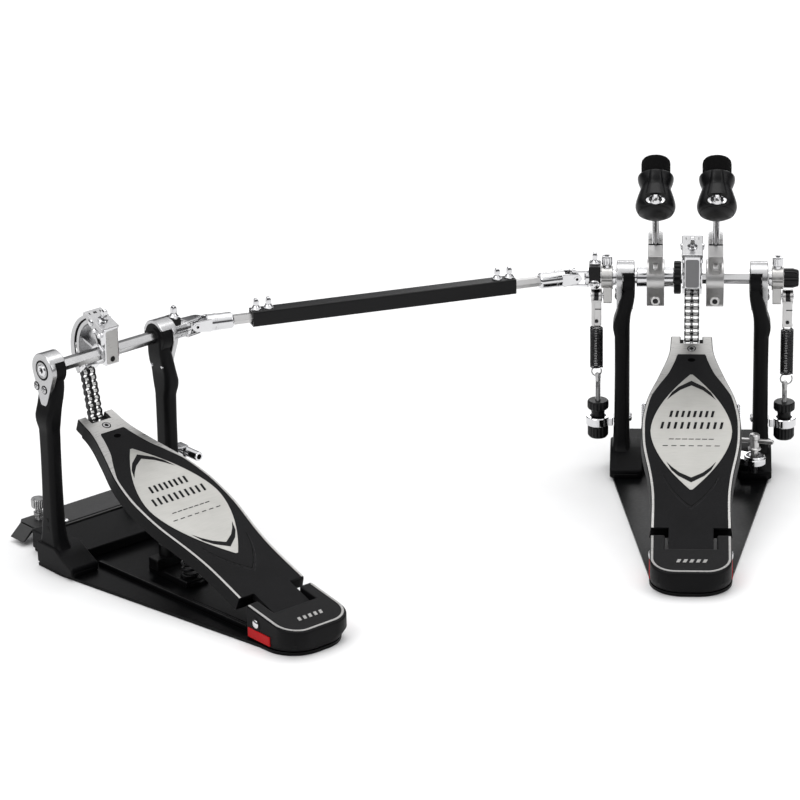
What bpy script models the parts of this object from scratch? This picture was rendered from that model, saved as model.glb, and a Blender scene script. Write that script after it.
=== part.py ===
"""Double bass drum pedal: a main pedal with two beaters, and a second pedal that
drives the left beater through a telescoping shaft with two universal joints.

Lengths are written in millimetres and turned into metres when a mesh is finished.
Each pedal has its own frame: +X to its right, +Y towards the drum, +Z up, with the
origin on the floor below the middle of its beater shaft.
"""
import bpy
import bmesh
from math import cos, pi, radians, sin
from mathutils import Matrix, Vector

MM = 0.001
GAP = 0.4
SIDES = 18

# ---- driving dimensions -------------------------------------------------------
SHAFT_HEIGHT = 196.0
HEX_CORNER = 6.1
BORE = 6.7
HOUSING_X = (55.2, 72.3)
HOUSING_RADIUS = 16.0
PLATE_X = 66.4
CHAIN_RADIUS = 36.0
CHAIN_WIDTH = 14.3
CHAIN_THICK = 5.4
CHAIN_START = -11.0
CHAIN_LENGTH = 70.8
CHAIN_TILT = 12.5
BEATER_LEAN = 45.0
HEAD_REACH = 149.0
ROD_RADIUS = 3.4
ROD_OFFSET = 5.0
HUB_X = {"right": 21.7, "left": -35.0}
SLEEVE_RADIUS = 9.5
ROCKER_REACH = 18.5
SPRING_X = 91.5
SPRING_SIZE = {"right": (143.0, 98.0), "left": (144.0, 103.5)}
EYE_HEIGHT = {"right": 87.5, "left": 95.0}
HINGE_Y = -260.0
HINGE_Z = 20.0
BOARD_SLOPE = 19.2
BOARD_LENGTH = 301.8
BOARD_TOP = 9.3
BOARD_DEEP = 13.0
BOARD_WIDTHS = ((0, 39.4), (26, 43.4), (58, 61.5), (89, 81.8), (118, 92.0), (140, 93.4),
                (164, 90.7), (203, 79.0), (232, 74.2), (284, 74.6))
BOARD_END = 284.0
TONGUE_HALF = 22.5
PIN_RADIUS = 4.0
BASE_THICK = 3.0
MAIN_JOINT_X = -113.0
DRIVE_LENGTH = 376.0
DRIVE_TURN = 21.4
SLAVE_TURN = 43.8
SLAVE_JOINT_X = 104.0
TUBE_SIZE = 15.0

# ---- materials ----------------------------------------------------------------
FINISHES = {
    "chrome": ((0.80, 0.80, 0.82), 0.12, 1.0),
    "steel": ((0.62, 0.62, 0.62), 0.35, 1.0),
    "gunmetal": ((0.20, 0.20, 0.21), 0.35, 1.0),
    "casting": ((0.018, 0.018, 0.019), 0.45, 0.0),
    "plate": ((0.02, 0.02, 0.022), 0.22, 0.0),
    "plastic": ((0.02, 0.02, 0.02), 0.4, 0.0),
    "felt": ((0.012, 0.012, 0.012), 0.95, 0.0),
    "board": ((0.45, 0.45, 0.44), 0.4, 0.9),
    "wire": ((0.02, 0.02, 0.02), 0.3, 0.6),
    "chain": ((0.06, 0.06, 0.065), 0.3, 0.9),
}


def finish(name):
    """The Principled material of one finish."""
    material = bpy.data.materials.get(name) or bpy.data.materials.new(name)
    colour, roughness, metallic = FINISHES[name]
    material.use_nodes = True
    shader = material.node_tree.nodes["Principled BSDF"]
    shader.inputs["Base Color"].default_value = (*colour, 1.0)
    shader.inputs["Roughness"].default_value = roughness
    shader.inputs["Metallic"].default_value = metallic
    material.diffuse_color = (*colour, 1.0)
    return material


# ---- solids -------------------------------------------------------------------
def wrap(bm):
    """A working object, still in millimetres, from a closed bmesh."""
    bmesh.ops.recalc_face_normals(bm, faces=bm.faces)
    mesh = bpy.data.meshes.new("work")
    bm.to_mesh(mesh)
    bm.free()
    work = bpy.data.objects.new("work", mesh)
    bpy.context.scene.collection.objects.link(work)
    return work


def skin(rings, closed=False):
    """Join rings of equal length into one surface, capped at both ends unless closed."""
    bm = bmesh.new()
    loops = [[bm.verts.new(point) for point in ring] for ring in rings]
    count = len(loops[0])
    pairs = list(zip(loops, loops[1:]))
    if closed:
        pairs.append((loops[-1], loops[0]))
    for low, high in pairs:
        for i in range(count):
            j = (i + 1) % count
            bm.faces.new((low[i], low[j], high[j], high[i]))
    if not closed:
        bm.faces.new(loops[0])
        bm.faces.new(loops[-1])
    return wrap(bm)


def prism(outline, axis, low, high):
    """Extrude an outline along X, Y or Z. The outline is (y, z), (x, z) or (x, y)."""
    place = {"X": lambda a, b, t: (t, a, b),
             "Y": lambda a, b, t: (a, t, b),
             "Z": lambda a, b, t: (a, b, t)}[axis]
    return skin([[place(a, b, t) for a, b in outline] for t in (low, high)])


def box(x0, x1, y0, y1, z0, z1, edge=0.0):
    """A block between two corners, with its edges chamfered by edge."""
    work = prism([(x0, y0), (x1, y0), (x1, y1), (x0, y1)], "Z", z0, z1)
    if edge:
        bm = bmesh.new()
        bm.from_mesh(work.data)
        bmesh.ops.bevel(bm, geom=bm.edges[:], offset=edge, segments=2, profile=0.5,
                        affect="EDGES")
        bm.to_mesh(work.data)
        bm.free()
    return work


def arc(centre, radius, start, end, steps):
    """Points on an arc between two angles in degrees."""
    angles = [radians(start + (end - start) * i / steps) for i in range(steps + 1)]
    return [(centre[0] + radius * cos(a), centre[1] + radius * sin(a)) for a in angles]


def circle(radius, sides, centre=(0.0, 0.0), turn=0.0):
    """Corners of a regular polygon, used for round bores and hexagons."""
    return arc(centre, radius, turn, turn + 360.0, sides)[:-1]


def rounded(x0, x1, y0, y1, radius, steps=2):
    """A rectangle with round corners."""
    corners = ((x1 - radius, y0 + radius, -90), (x1 - radius, y1 - radius, 0),
               (x0 + radius, y1 - radius, 90), (x0 + radius, y0 + radius, 180))
    return [p for x, y, a in corners for p in arc((x, y), radius, a, a + 90, steps)]


def turned(profile, sides=SIDES, ring=False):
    """Turn (radius, height) points about Z. The ends lie on the axis unless it is a ring."""
    bm = bmesh.new()
    spun = []
    for radius, height in profile:
        if radius <= 0.0:
            spun.append([bm.verts.new((0.0, 0.0, height))] * sides)
        else:
            spun.append([bm.verts.new((x, y, height)) for x, y in circle(radius, sides)])
    pairs = list(zip(spun, spun[1:]))
    if ring:
        pairs.append((spun[-1], spun[0]))
    for low, high in pairs:
        for i in range(sides):
            j = (i + 1) % sides
            corners = dict.fromkeys((low[i], low[j], high[j], high[i]))
            bm.faces.new(list(corners))
    return wrap(bm)


def rod(radius, start, end, sides=14):
    """A cylinder between two points."""
    start, end = Vector(start), Vector(end)
    work = turned([(0, 0), (radius, 0), (radius, (end - start).length),
                   (0, (end - start).length)], sides)
    turn = Vector((0, 0, 1)).rotation_difference(end - start).to_matrix().to_4x4()
    return moved(work, Matrix.Translation(start) @ turn)


def sweep(points, radius, sides=8):
    """A round wire along points, whose rings stay square to the path."""
    points = [Vector(p) for p in points]
    count = len(points)
    rings = []
    side = None
    for i, point in enumerate(points):
        ahead = points[min(i + 1, count - 1)]
        behind = points[max(i - 1, 0)]
        along = (ahead - behind).normalized()
        if side is None:
            side = along.orthogonal().normalized()
        side = (side - along * side.dot(along)).normalized()
        other = along.cross(side)
        rings.append([point + side * x + other * y for x, y in circle(radius, sides)])
    return skin(rings)


def moved(work, matrix):
    """Move a working object's mesh."""
    work.data.transform(matrix)
    return work


def boolean(operation, body, tools):
    """Join tools to a body or cut them from it, exactly."""
    for tool in tools:
        modifier = body.modifiers.new(operation, "BOOLEAN")
        modifier.operation = operation
        modifier.solver = "EXACT"
        modifier.object = tool
    graph = bpy.context.evaluated_depsgraph_get()
    mesh = bpy.data.meshes.new_from_object(body.evaluated_get(graph))
    body.modifiers.clear()
    body.data = mesh
    for tool in tools:
        bpy.data.objects.remove(tool)
    return body


def union(body, *tools):
    return boolean("UNION", body, tools)


def cut(body, *tools):
    return boolean("DIFFERENCE", body, tools)


def node(name, work, look, parent, smooth=35.0):
    """Finish a node: metres, material, smooth shading and its parent empty."""
    bm = bmesh.new()
    bm.from_mesh(work.data)
    bmesh.ops.remove_doubles(bm, verts=bm.verts, dist=0.002)
    bmesh.ops.dissolve_degenerate(bm, dist=0.002, edges=bm.edges)
    bm.to_mesh(work.data)
    bm.free()
    work.data.transform(Matrix.Scale(MM, 4))
    work.name = name
    work.data.name = name
    work.data.materials.clear()
    work.data.materials.append(finish(look))
    work.data.shade_smooth()
    work.data.set_sharp_from_angle(angle=radians(smooth))
    work.parent = parent
    return work


def empty(name, parent=None, at=(0, 0, 0), turn=0.0, axis="Z"):
    """An empty that carries a unit or marks a joint's axis."""
    holder = bpy.data.objects.new(name, None)
    bpy.context.scene.collection.objects.link(holder)
    holder.location = Vector(at) * MM
    holder.rotation_euler["XYZ".index(axis)] = radians(turn)
    holder.parent = parent
    return holder


def along_x(work):
    """Turn a solid made about Z so that its axis is X, with +Z becoming +X."""
    return moved(work, Matrix.Rotation(radians(90), 4, "Y"))


def x_cylinder(radius, x0, x1, sides=SIDES, centre=(0.0, 0.0), turn=0.0):
    """A cylinder or hexagon along X, centred on (y, z)."""
    return prism(circle(radius, sides, centre, turn), "X", x0, x1)


# ---- parts that both pedals have ----------------------------------------------
def base_plate(name, pedal):
    """Steel floor plate: wide below the frame, tapering to a round heel, with two ribs."""
    outline = [(-77.5, 14), (-77.5, -20), (-38.3, -267)]
    outline += arc((-20, -291), 18, 180, 270, 5)
    outline += arc((20, -291), 18, 270, 360, 5)
    outline += [(38.3, -267), (77.5, -20), (77.5, 14)]
    plate = prism(outline, "Z", 0, BASE_THICK)
    ribs = []
    for side in (-1, 1):
        foot = [(side * 56, -42), (side * 52, -42), (side * 27.5, -232), (side * 31.5, -232)]
        ribs.append(prism(foot, "Z", BASE_THICK - 1, BASE_THICK + 3.5))
    node(name, union(plate, *ribs), "plate", pedal)


def post(side):
    """One cast upright: a splayed foot, a slim stem, and an outward bulge below the bearing."""
    sections = (
        (BASE_THICK + GAP, 46, 78, -39, 30), (8.8, 47, 78, -38.5, 30),
        (14, 53, 77.3, -28, 29), (22, 58, 76.2, -17, 25), (34, 59.3, 75, -12, 16),
        (60, 59.5, 74.2, -9.5, 10.5), (136, 59.5, 74, -9.5, 10.5),
        (144, 59.5, 75.6, -11, 12), (151, 59.3, 76.4, -12, 13),
        (161, 58.4, 74.6, -13, 13.5), (170, 56.2, 71.5, -13.5, 13.5),
        (179, 54.8, 67.5, -13, 13), (188, 54.4, 66, -13, 13),
        (SHAFT_HEIGHT + 3, 54.4, 66, -12.5, 12.5),
    )
    rings = []
    for z, inner, outer, front, back in sections:
        corner = min(4.5, (outer - inner) / 2 - 0.5)
        rings.append([(side * x, y, z) for x, y in rounded(inner, outer, front, back, corner)])
    return skin(rings)


def teardrop(grow=0.0):
    """Side outline of the bearing cover: a round top running down to a blunt tip."""
    top = arc((0, SHAFT_HEIGHT), HOUSING_RADIUS + grow, -20, 200, 12)
    tip = arc((0, SHAFT_HEIGHT - 29), 3.5 + grow, 200, 340, 4)
    return top + tip


def side_span(side, inner, outer):
    """A span of x on the right, or mirrored to the left."""
    return sorted((side * inner, side * outer))


def frame(name, pedal, extras=()):
    """The casting: two posts on one cross base, open in the middle."""
    height = SHAFT_HEIGHT
    cross = box(-62, 62, -14, 45, BASE_THICK + GAP, 13.5)
    shoulders = [box(*side_span(side, 44, 62), -10, 45, 12, 22) for side in (-1, 1)]
    body = union(cross, *shoulders, post(-1), post(1), *extras)
    cutters = []
    for side in (-1, 1):
        cutters.append(prism(teardrop(GAP), "X", *side_span(side, PLATE_X - GAP, 90)))
        cutters.append(x_cylinder(8.5, *side_span(side, 40, 90), centre=(0, height)))
        notch = side_span(side, 40, 90)
        cutters.append(box(*notch, -8.5, 8.5, height, height + 20))
    node(name, cut(body, *cutters), "casting", pedal)


def housing(name, side, pedal):
    """Chrome bearing cover: an arch over the post and an outer plate that holds the bearing."""
    height = SHAFT_HEIGHT
    arch = prism(arc((0, height), HOUSING_RADIUS, 5, 175, 12), "X",
                 *side_span(side, HOUSING_X[0], HOUSING_X[1] - 1))
    arch = cut(arch, box(*side_span(side, 40, PLATE_X), -20, 20, height - 9,
                         height + 3 + GAP))
    plate = prism(teardrop(), "X", *side_span(side, PLATE_X, HOUSING_X[1]))
    body = union(plate, arch)
    bores = [x_cylinder(8.5, *side_span(side, 40, 90), centre=(0, height)),
             x_cylinder(11.5, *side_span(side, PLATE_X + 1.2, 90), centre=(0, height), sides=20)]
    node(name, cut(body, *bores), "chrome", pedal)


def bearing(name, side, pedal):
    """Ball bearing as one ring in the outer plate."""
    start = side * (PLATE_X + 1.6) if side > 0 else -(HOUSING_X[1] - 0.3)
    width = HOUSING_X[1] - PLATE_X - 1.9
    ring = turned([(BORE, 0), (11.1, 0), (11.1, width), (BORE, width)], 16, ring=True)
    along_x(ring)
    node(name, moved(ring, Matrix.Translation((start, 0, SHAFT_HEIGHT))), "steel", pedal)


def heel_plate(name, pedal):
    """Heel rest: a sloping cap, notched for the footboard's tongue, with two hinge lugs."""
    rise, run = 34.6 - 24.0, 311.0 - 247.0
    outline = rounded(-37.3, 37.3, -311, -200, 15, 5)
    body = prism(outline, "Z", BASE_THICK + GAP, 60)
    front = box(-50, 50, -247, -190, 0, 80)
    top = prism([(-180, 34.6 + rise / run * 67), (-330, 24.0 - rise / run * 19),
                 (-330, 80), (-180, 80)], "X", -50, 50)
    hollow = box(-33, 33, -306, -272, -1, 14)
    notch = box(-28.5, 28.5, -270, -240, -1, 60)
    body = cut(body, front, top, hollow, notch)
    lugs = []
    for side in (-1, 1):
        lugs.append(x_cylinder(8, *side_span(side, 29, 37), centre=(HINGE_Y, HINGE_Z)))
    body = union(body, *lugs)
    bore = x_cylinder(PIN_RADIUS + GAP, -34, 34, centre=(HINGE_Y, HINGE_Z))
    node(name, cut(body, bore), "casting", pedal)


def hinge_pin(name, pedal):
    """The heel hinge's pin, captive between the two lugs."""
    pin = x_cylinder(PIN_RADIUS, -33.5, 33.5, 12, centre=(HINGE_Y, HINGE_Z))
    node(name, pin, "steel", pedal)


def board_half_width(u):
    """Half the footboard's width at a distance u from the toe, smooth through the stations."""
    stations = BOARD_WIDTHS
    for i in range(len(stations) - 1):
        (u1, w1), (u2, w2) = stations[i], stations[i + 1]
        if u <= u2:
            break
    u0, w0 = stations[max(i - 1, 0)]
    u3, w3 = stations[min(i + 2, len(stations) - 1)]
    span = u2 - u1
    slope1 = (w2 - w0) / (u2 - u0) * span
    slope2 = (w3 - w1) / (u3 - u1) * span
    t = (u - u1) / span
    width = (w1 * (2 * t ** 3 - 3 * t ** 2 + 1) + slope1 * (t ** 3 - 2 * t ** 2 + t)
             + w2 * (3 * t ** 2 - 2 * t ** 3) + slope2 * (t ** 3 - t ** 2))
    return width / 2


def board_outline(inset, first, last, steps):
    """The footboard's outline, drawn in by inset, between two distances from the toe."""
    marks = [first + (last - first) * i / steps for i in range(steps + 1)]
    right = [(board_half_width(u) - inset, BOARD_LENGTH - u) for u in marks]
    return right + [(-x, y) for x, y in reversed(right)]


def footboard(name, hinge):
    """Contoured board on its hinge axis: a thin top, deep sides, chain notch and tongue."""
    low = BOARD_TOP - BOARD_DEEP
    body = prism(board_outline(0, 0, BOARD_END, 22), "Z", low, BOARD_TOP)
    hollow = prism(board_outline(3, 30, BOARD_END - 6, 14), "Z", low - 1, BOARD_TOP - 5)
    notch = box(-10.5, 10.5, BOARD_LENGTH - 11, BOARD_LENGTH + 5, low - 1, 20)
    body = cut(body, hollow, notch)
    tongue_back = BOARD_LENGTH - BOARD_END + 3
    tongue = box(-TONGUE_HALF, TONGUE_HALF, -6, tongue_back, 2, BOARD_TOP)
    barrel = x_cylinder(8, -TONGUE_HALF, TONGUE_HALF)
    body = union(body, tongue, barrel)
    bore = x_cylinder(PIN_RADIUS + GAP, -30, 30, 12)
    node(name, cut(body, bore), "board", hinge)


def board_spring(name, pedal):
    """Coil under the board, as the tube that its wire fills, on a low seat."""
    base = BASE_THICK + GAP
    profile = [(6, base), (13, base), (13, base + 4), (10, base + 5), (10, 55), (6, 55)]
    coil = turned(profile, 14, ring=True)
    node(name, moved(coil, Matrix.Translation((0, -118, 0))), "wire", pedal)


def cam_rim(radius, inner, start, end, half):
    """A band of the cam's rim, between two angles about the shaft."""
    steps = 9
    outline = arc((0, 0), radius, start, end, steps) + arc((0, 0), inner, end, start, steps)
    return prism(outline, "X", -half, half)


def cam(name, rotor):
    """Sprocket-free chain cam: hub, three spokes, a flanged rim and the chain's clamp."""
    hub = x_cylinder(9.8, -8.5, 8.5)
    floor = cam_rim(33, 29.5, -40, 72, 9.5)
    wrap_band = cam_rim(CHAIN_RADIUS + CHAIN_THICK / 2, 32, -7, 62, CHAIN_WIDTH / 2)
    flange = arc((3, -3.5), 39.5, -40, 66, 12) + arc((0, 0), 30, 66, -40, 8)
    flanges = [prism(flange, "X", *side_span(side, 7.6, 9.5)) for side in (-1, 1)]
    spokes = []
    for angle in (-38, 14, 66):
        spoke = box(-7.5, 7.5, 5, 31, -1.5, 1.5)
        spokes.append(moved(spoke, Matrix.Rotation(radians(angle), 4, "X")))
    block = box(-7.7, 7.7, -10, -3, -9.5, 24, 1.0)
    beam = prism([(-9, 15), (-3, 15), (19, 27), (19, 33), (-9, 23)], "X", -7.6, 7.6)
    top = moved(box(-10, 10, 0, 30, -4.3, 0, 0.8), Matrix.Translation((0, -9, 25.8))
                @ Matrix.Rotation(radians(20), 4, "X"))
    body = union(hub, floor, wrap_band, *flanges, *spokes, block, beam, top)
    node(name, cut(body, x_cylinder(BORE, -15, 15)), "chrome", rotor)


def chain(name, rotor):
    """The free run of double roller chain, from the cam down through the footboard's notch."""
    start = (CHAIN_RADIUS * cos(radians(CHAIN_START)), CHAIN_RADIUS * sin(radians(CHAIN_START)))
    half = CHAIN_WIDTH / 2
    run = box(-half, half, -CHAIN_THICK / 2, CHAIN_THICK / 2, -CHAIN_LENGTH - 3, -4, 1.0)
    swing = empty(name + "_axis", rotor, (0, *start), -CHAIN_TILT, "X")
    node(name, run, "chain", swing)


def hex_shaft(x0, x1, corner=HEX_CORNER):
    """A hexagonal bar along X, flat on top."""
    return x_cylinder(corner, x0, x1, 6)


def fork(reach, radius=8.0):
    """One yoke of a universal joint, centred on the joint, with its stem towards -X."""
    stem = x_cylinder(radius, -reach, -10)
    outline = [(-12.5, 4.8), (-12.5, -4.8)] + arc((0, 0), 4.8, -90, 90, 6)
    ears = [prism(outline, "Z", *side_span(side, 5.3, 8.2)) for side in (-1, 1)]
    root = box(-14, -10, -5.4, 5.4, -8, 8)
    body = union(stem, root, *ears)
    return cut(body, rod(2.6, (0, 0, -12), (0, 0, 12), 10))


def cross(name, holder):
    """The joint's cross: a block with two pairs of trunnions."""
    block = box(-3.4, 3.4, -3.4, 3.4, -3.4, 3.4, 0.6)
    pins = [rod(2.0, (0, 0, -7.8), (0, 0, 7.8), 8), rod(2.0, (0, -7.8, 0), (0, 7.8, 0), 8)]
    node(name, union(block, *pins), "steel", holder)


# ---- the main pedal's beaters and springs --------------------------------------
def hub(name, side, rotor):
    """Beater hub: a clamp ring with its screw lug below, and the rod's clamp block above."""
    x = HUB_X[side]
    bore = BORE if side == "right" else SLEEVE_RADIUS + GAP
    ring = x_cylinder(17.5, x - 8.4, x + 8.4, 24)
    lug = prism([(-9, -8), (9, -8)] + arc((2, -21), 9, 0, -180, 8), "X", x - 8.4, x + 8.4)
    lean = Matrix.Rotation(radians(BEATER_LEAN), 4, "X")
    neck = moved(box(x - 6.8, x + 6.8, -6, 12, 10, 50, 0.8), lean)
    block = moved(box(x - 7, x + 7, -9, 13, 44, 60, 0.8), lean)
    back = prism([(x - 7, 50), (x + 7, 50)] + arc((x, 69), 7, 0, 180, 8), "Y", 9.2, 12.2)
    back = moved(back, lean)
    body = union(ring, lug, neck, block, back)
    hole = moved(rod(ROD_RADIUS + GAP, (x, ROD_OFFSET, 30), (x, ROD_OFFSET, 90)), lean)
    slot = box(x - 9, x + 9, -0.8, 2.8, -40, -5)
    node(name, cut(body, x_cylinder(bore, x - 12, x + 12), hole, slot), "chrome", rotor)


def beater(side, rotor):
    """Rod, plastic head and felt face, on the rod's own leaning axis."""
    x = HUB_X[side]
    lean = empty(side + "_beater_axis", rotor, (x, 0, 0), BEATER_LEAN, "X")
    shaft = rod(ROD_RADIUS, (0, ROD_OFFSET, 32), (0, ROD_OFFSET, HEAD_REACH + 10), 14)
    node(side + "_rod", shaft, "chrome", lean)
    profile = [(0, -8.6), (8, -8.2), (14.5, -5.4), (18.2, -1), (18.5, 4), (16.8, 10.5),
               (14.6, 18.5), (15, 25), (16.5, 30.5), (14.5, 34.4), (0, 34.4)]
    place = Matrix.Translation((0, 0, HEAD_REACH)) @ Matrix.Rotation(radians(-90), 4, "X")
    head = moved(turned(profile, 20), place)
    hole = rod(ROD_RADIUS + GAP, (0, ROD_OFFSET, HEAD_REACH - 30),
               (0, ROD_OFFSET, HEAD_REACH + 10.5))
    node(side + "_head", cut(head, hole), "plastic", lean)
    face = [(0, 34.8), (13.5, 34.8), (13.6, 47), (11.6, 50.6), (0, 51.8)]
    node(side + "_felt", moved(turned(face, 20), place), "felt", lean)


def rocker(name, side, rotor):
    """Spring arm clamped on the shaft, with its thumb screw above and the link's pin below."""
    sign = 1 if side == "right" else -1
    span = side_span(sign, 76, 87)
    ring = prism(arc((0, 0), 11.2, -30, 210, 10), "X", *span)
    arm = prism(rounded(-6, 6, -25.5, 4, 3), "X", *side_span(sign, 76.6, 83.6))
    screw = moved(turned([(0, 9), (4.2, 9), (4.2, 13), (5.1, 13), (5.1, 20), (4.2, 21.5),
                          (0, 21.5)], 12), Matrix.Translation((sign * 81.5, 0, 0)))
    pin = x_cylinder(2.6, *side_span(sign, 82, 97.4), 10, centre=(0, -ROCKER_REACH))
    body = union(ring, arm, screw, pin)
    node(name, cut(body, x_cylinder(BORE, *side_span(sign, 70, 92))), "steel", rotor)


def link(name, side, rotor):
    """Spring link: a block on the rocker's pin, a flat strap and a hook for the spring."""
    sign = 1 if side == "right" else -1
    x = sign * SPRING_X
    head = box(x - 5.2, x + 5.2, -6.5, 6.5, -6.2, 7, 1.2)
    strap = box(x - 4.6, x + 4.6, -2.2, 2.2, -31, -4, 0.5)
    body = cut(union(head, strap), x_cylinder(3.0, x - 9, x + 9, 12))
    hole = rod(2.2, (x, -9, -26), (x, 9, -26), 12)
    swing = empty(name + "_axis", rotor, (0, 0, -ROCKER_REACH))
    node(name, cut(body, hole), "chrome", swing)


def spring(name, side, rotor):
    """Tension spring as the tube that its coils fill, with a wire loop below."""
    sign = 1 if side == "right" else -1
    top, bottom = SPRING_SIZE[side]
    profile = [(3.6, bottom), (6.4, bottom), (6.4, top), (3.6, top)]
    coil = turned(profile, 12, ring=True)
    eye = EYE_HEIGHT[side]
    stub = sweep([(0, 5, bottom + 1), (0, 5.2, bottom - 3), (0, 4.8, eye + 1), (0, 4.0, eye - 1)],
                 0.8, 6)
    holder = empty(name + "_axis", rotor, (sign * SPRING_X, 0, -SHAFT_HEIGHT))
    node(name, union(coil, stub), "wire", holder)


def ring_clamp(name, side, pedal):
    """Chrome bracket on the post whose ring carries the spring's tension knob."""
    sign = 1 if side == "right" else -1
    ring = turned([(7.3, 44.6), (11.6, 44.6), (11.6, 53.3), (7.3, 53.3)], 20, ring=True)
    ring = moved(ring, Matrix.Translation((sign * 90, 0, 0)))
    body = union(ring, box(*side_span(sign, 75.3, 80), -7, 7, 45, 52.9))
    node(name, body, "chrome", pedal)


def tension_knob(name, side, pedal):
    """Black knob on a neck through the ring, with its lower nut and a bore for the eye rod."""
    sign = 1 if side == "right" else -1
    profile = [(0, 42), (3.0, 42), (3.0, 69), (9.6, 69), (10.3, 68), (10.3, 65), (6.6, 59.5),
               (6.6, 44.2), (10, 44.2), (10, 33.5), (8.4, 31.8), (0, 31.8)]
    knob = turned(profile, 16)
    holder = empty(name + "_axis", pedal, (sign * 90, 0, 0))
    node(name, knob, "plastic", holder)


def eye_rod(name, side, pedal):
    """Threaded rod from the knob up to the eye that the spring's loop hooks into."""
    sign = 1 if side == "right" else -1
    eye = EYE_HEIGHT[side]
    body = rod(2.5, (0, 0, 42.6), (0, 0, eye + 4), 10)
    hole = rod(1.5, (0, -6, eye), (0, 6, eye), 8)
    node(name, moved(cut(body, hole), Matrix.Translation((sign * 90, 0, 0))), "steel", pedal)


def hoop_lever(name, pedal):
    """Clamp lever: from the wing bolt under the board to the jaw over the drum's hoop."""
    z = 20.5
    outline = arc((61, -40), 11, -120, 35, 8) + [(34, -16), (34, 30), (24, 36)]
    outline += [(24, 62), (-24, 62), (-24, 36), (14, 28), (14, -24)]
    body = prism(outline, "Z", 0, 6.5)
    body = cut(body, rod(6, (61, -40, -3), (61, -40, 12), 20))
    holder = empty(name + "_axis", pedal, (0, 5, z))
    node(name, moved(body, Matrix.Translation((0, -5, 0))), "chrome", holder)


def wing_bolt(name, pedal):
    """Clamp bolt with two wings, standing in the base plate."""
    stem = turned([(0, 11), (3.8, 11), (3.8, 35.2), (6.2, 35.2), (6.2, 38.6), (4.6, 40), (4.6, 46),
                   (6.0, 46), (6.0, 50), (4.6, 51.6), (0, 51.6)], 14)
    wings = []
    for angle in (-8, 232):
        wing = prism(rounded(2, 18, 40.5, 46, 2.4), "Y", -2, 2)
        wings.append(moved(wing, Matrix.Rotation(radians(angle), 4, "Z")))
    holder = empty(name + "_axis", pedal, (61, -40, 0))
    node(name, union(stem, *wings), "chrome", holder)


def end_cap(name, rotor):
    """Ribbed black cap over the shaft's right end."""
    cap = turned([(0, 87.4), (9.3, 87.4), (9.3, 96), (7.6, 101), (0, 101.6)])
    cap = cut(along_x(cap), x_cylinder(BORE, 80, 92))
    node(name, cap, "plastic", rotor)


def sleeve(name, rotor):
    """Left beater's sleeve over the hexagonal shaft, its neck through the bearing, and a yoke."""
    neck = BORE - GAP - 0.3
    profile = [(0, 49.6), (BORE, 49.6), (BORE, 18), (SLEEVE_RADIUS, 18), (SLEEVE_RADIUS, 53),
               (neck, 53), (neck, 101), (0, 101)]
    body = turned([(r, -h) for r, h in profile])
    along_x(body)
    yoke = moved(fork(14), Matrix.Rotation(radians(180), 4, "Z"))
    yoke = moved(yoke, Matrix.Translation((MAIN_JOINT_X, 0, 0)))
    node(name, union(body, yoke), "chrome", rotor)


def sleeve_ring(name, rotor):
    """Black knurled lock ring at the sleeve's inner end."""
    ring = along_x(turned([(BORE, -17.6), (15, -17.6), (15.8, -16.8), (15.8, -11.4), (15, -10.6),
                           (BORE, -10.6)], 20, ring=True))
    node(name, ring, "plastic", rotor)


def collar(x0, x1):
    """Clamp block on a shaft with its key screw above."""
    block = box(x0, x1, -10, 10, -8, 13.5, 1.0)
    screw = turned([(0, 12), (4.4, 12), (4.4, 14.4), (2.2, 15), (2.2, 23), (1.6, 24), (0, 24)], 10)
    screw = moved(screw, Matrix.Translation(((x0 + x1) / 2, 0, 0)))
    return union(block, screw)


# ---- the drive between the pedals ----------------------------------------------
def key_screws(*places):
    """Square-headed key screws along the tube's top."""
    profile = [(0, 6), (4.4, 6), (4.4, 9.5), (2.3, 10.2), (2.3, 17), (1.6, 18), (0, 18)]
    return [moved(turned(profile, 10), Matrix.Translation((x, 0, 0))) for x in places]


def drive_tube(name, drive):
    """Square tube with a pair of key screws at each end."""
    half = TUBE_SIZE / 2
    first, last = -322.0, -61.0
    body = box(first, last, -half, half, -half, half, 0.8)
    body = union(body, *key_screws(first + 5, first + 17, last - 17, last - 5))
    hollow = box(first - 5, last + 5, -5.5, 5.5, -5.5, 5.5)
    node(name, cut(body, hollow), "plastic", drive)


def drive_socket(rod_end):
    """A yoke, its round socket and the hexagonal rod that runs into the tube along -X."""
    socket = along_x(turned([(0, -36), (6.2, -36), (7.8, -34), (7.8, -16), (0, -16)]))
    bar = x_cylinder(5.0, rod_end, -30, 6)
    return union(fork(20), socket, bar)


# ---- the slave pedal's own parts -------------------------------------------------
def stabilizer(name, pedal):
    """Bent steel plate in front of the second pedal, with a claw folded down at one end."""
    plate = prism([(-52, 47), (78, 47), (78, 85), (-46, 85), (-52, 78)], "Z", 12, 15)
    ledge = box(-38, 60, 45.4, 50, 12, 15)
    claw = prism([(-66, 0), (-62, 0), (-49, 12.4), (-49, 15), (-53, 15)], "Y", 56, 80)
    body = union(plate, ledge, claw)
    holes = [rod(4.4, (-33, 74, 5), (-33, 74, 20), 16), rod(3, (-18, 70, 5), (-18, 70, 20), 14)]
    node(name, cut(body, *holes), "gunmetal", pedal)


def thumb_screw(name, pedal):
    """Knurled levelling screw through the stabilizer plate, standing on the floor."""
    profile = [(0, 0.2), (2.5, 2), (3.6, 2.2), (3.6, 19), (5.5, 19), (5.5, 22), (3.2, 22),
               (3.2, 27), (7, 29), (7, 35), (6.2, 36), (0, 36)]
    holder = empty(name + "_axis", pedal, (-33, 74, 0))
    node(name, turned(profile, 14), "steel", holder)


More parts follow.
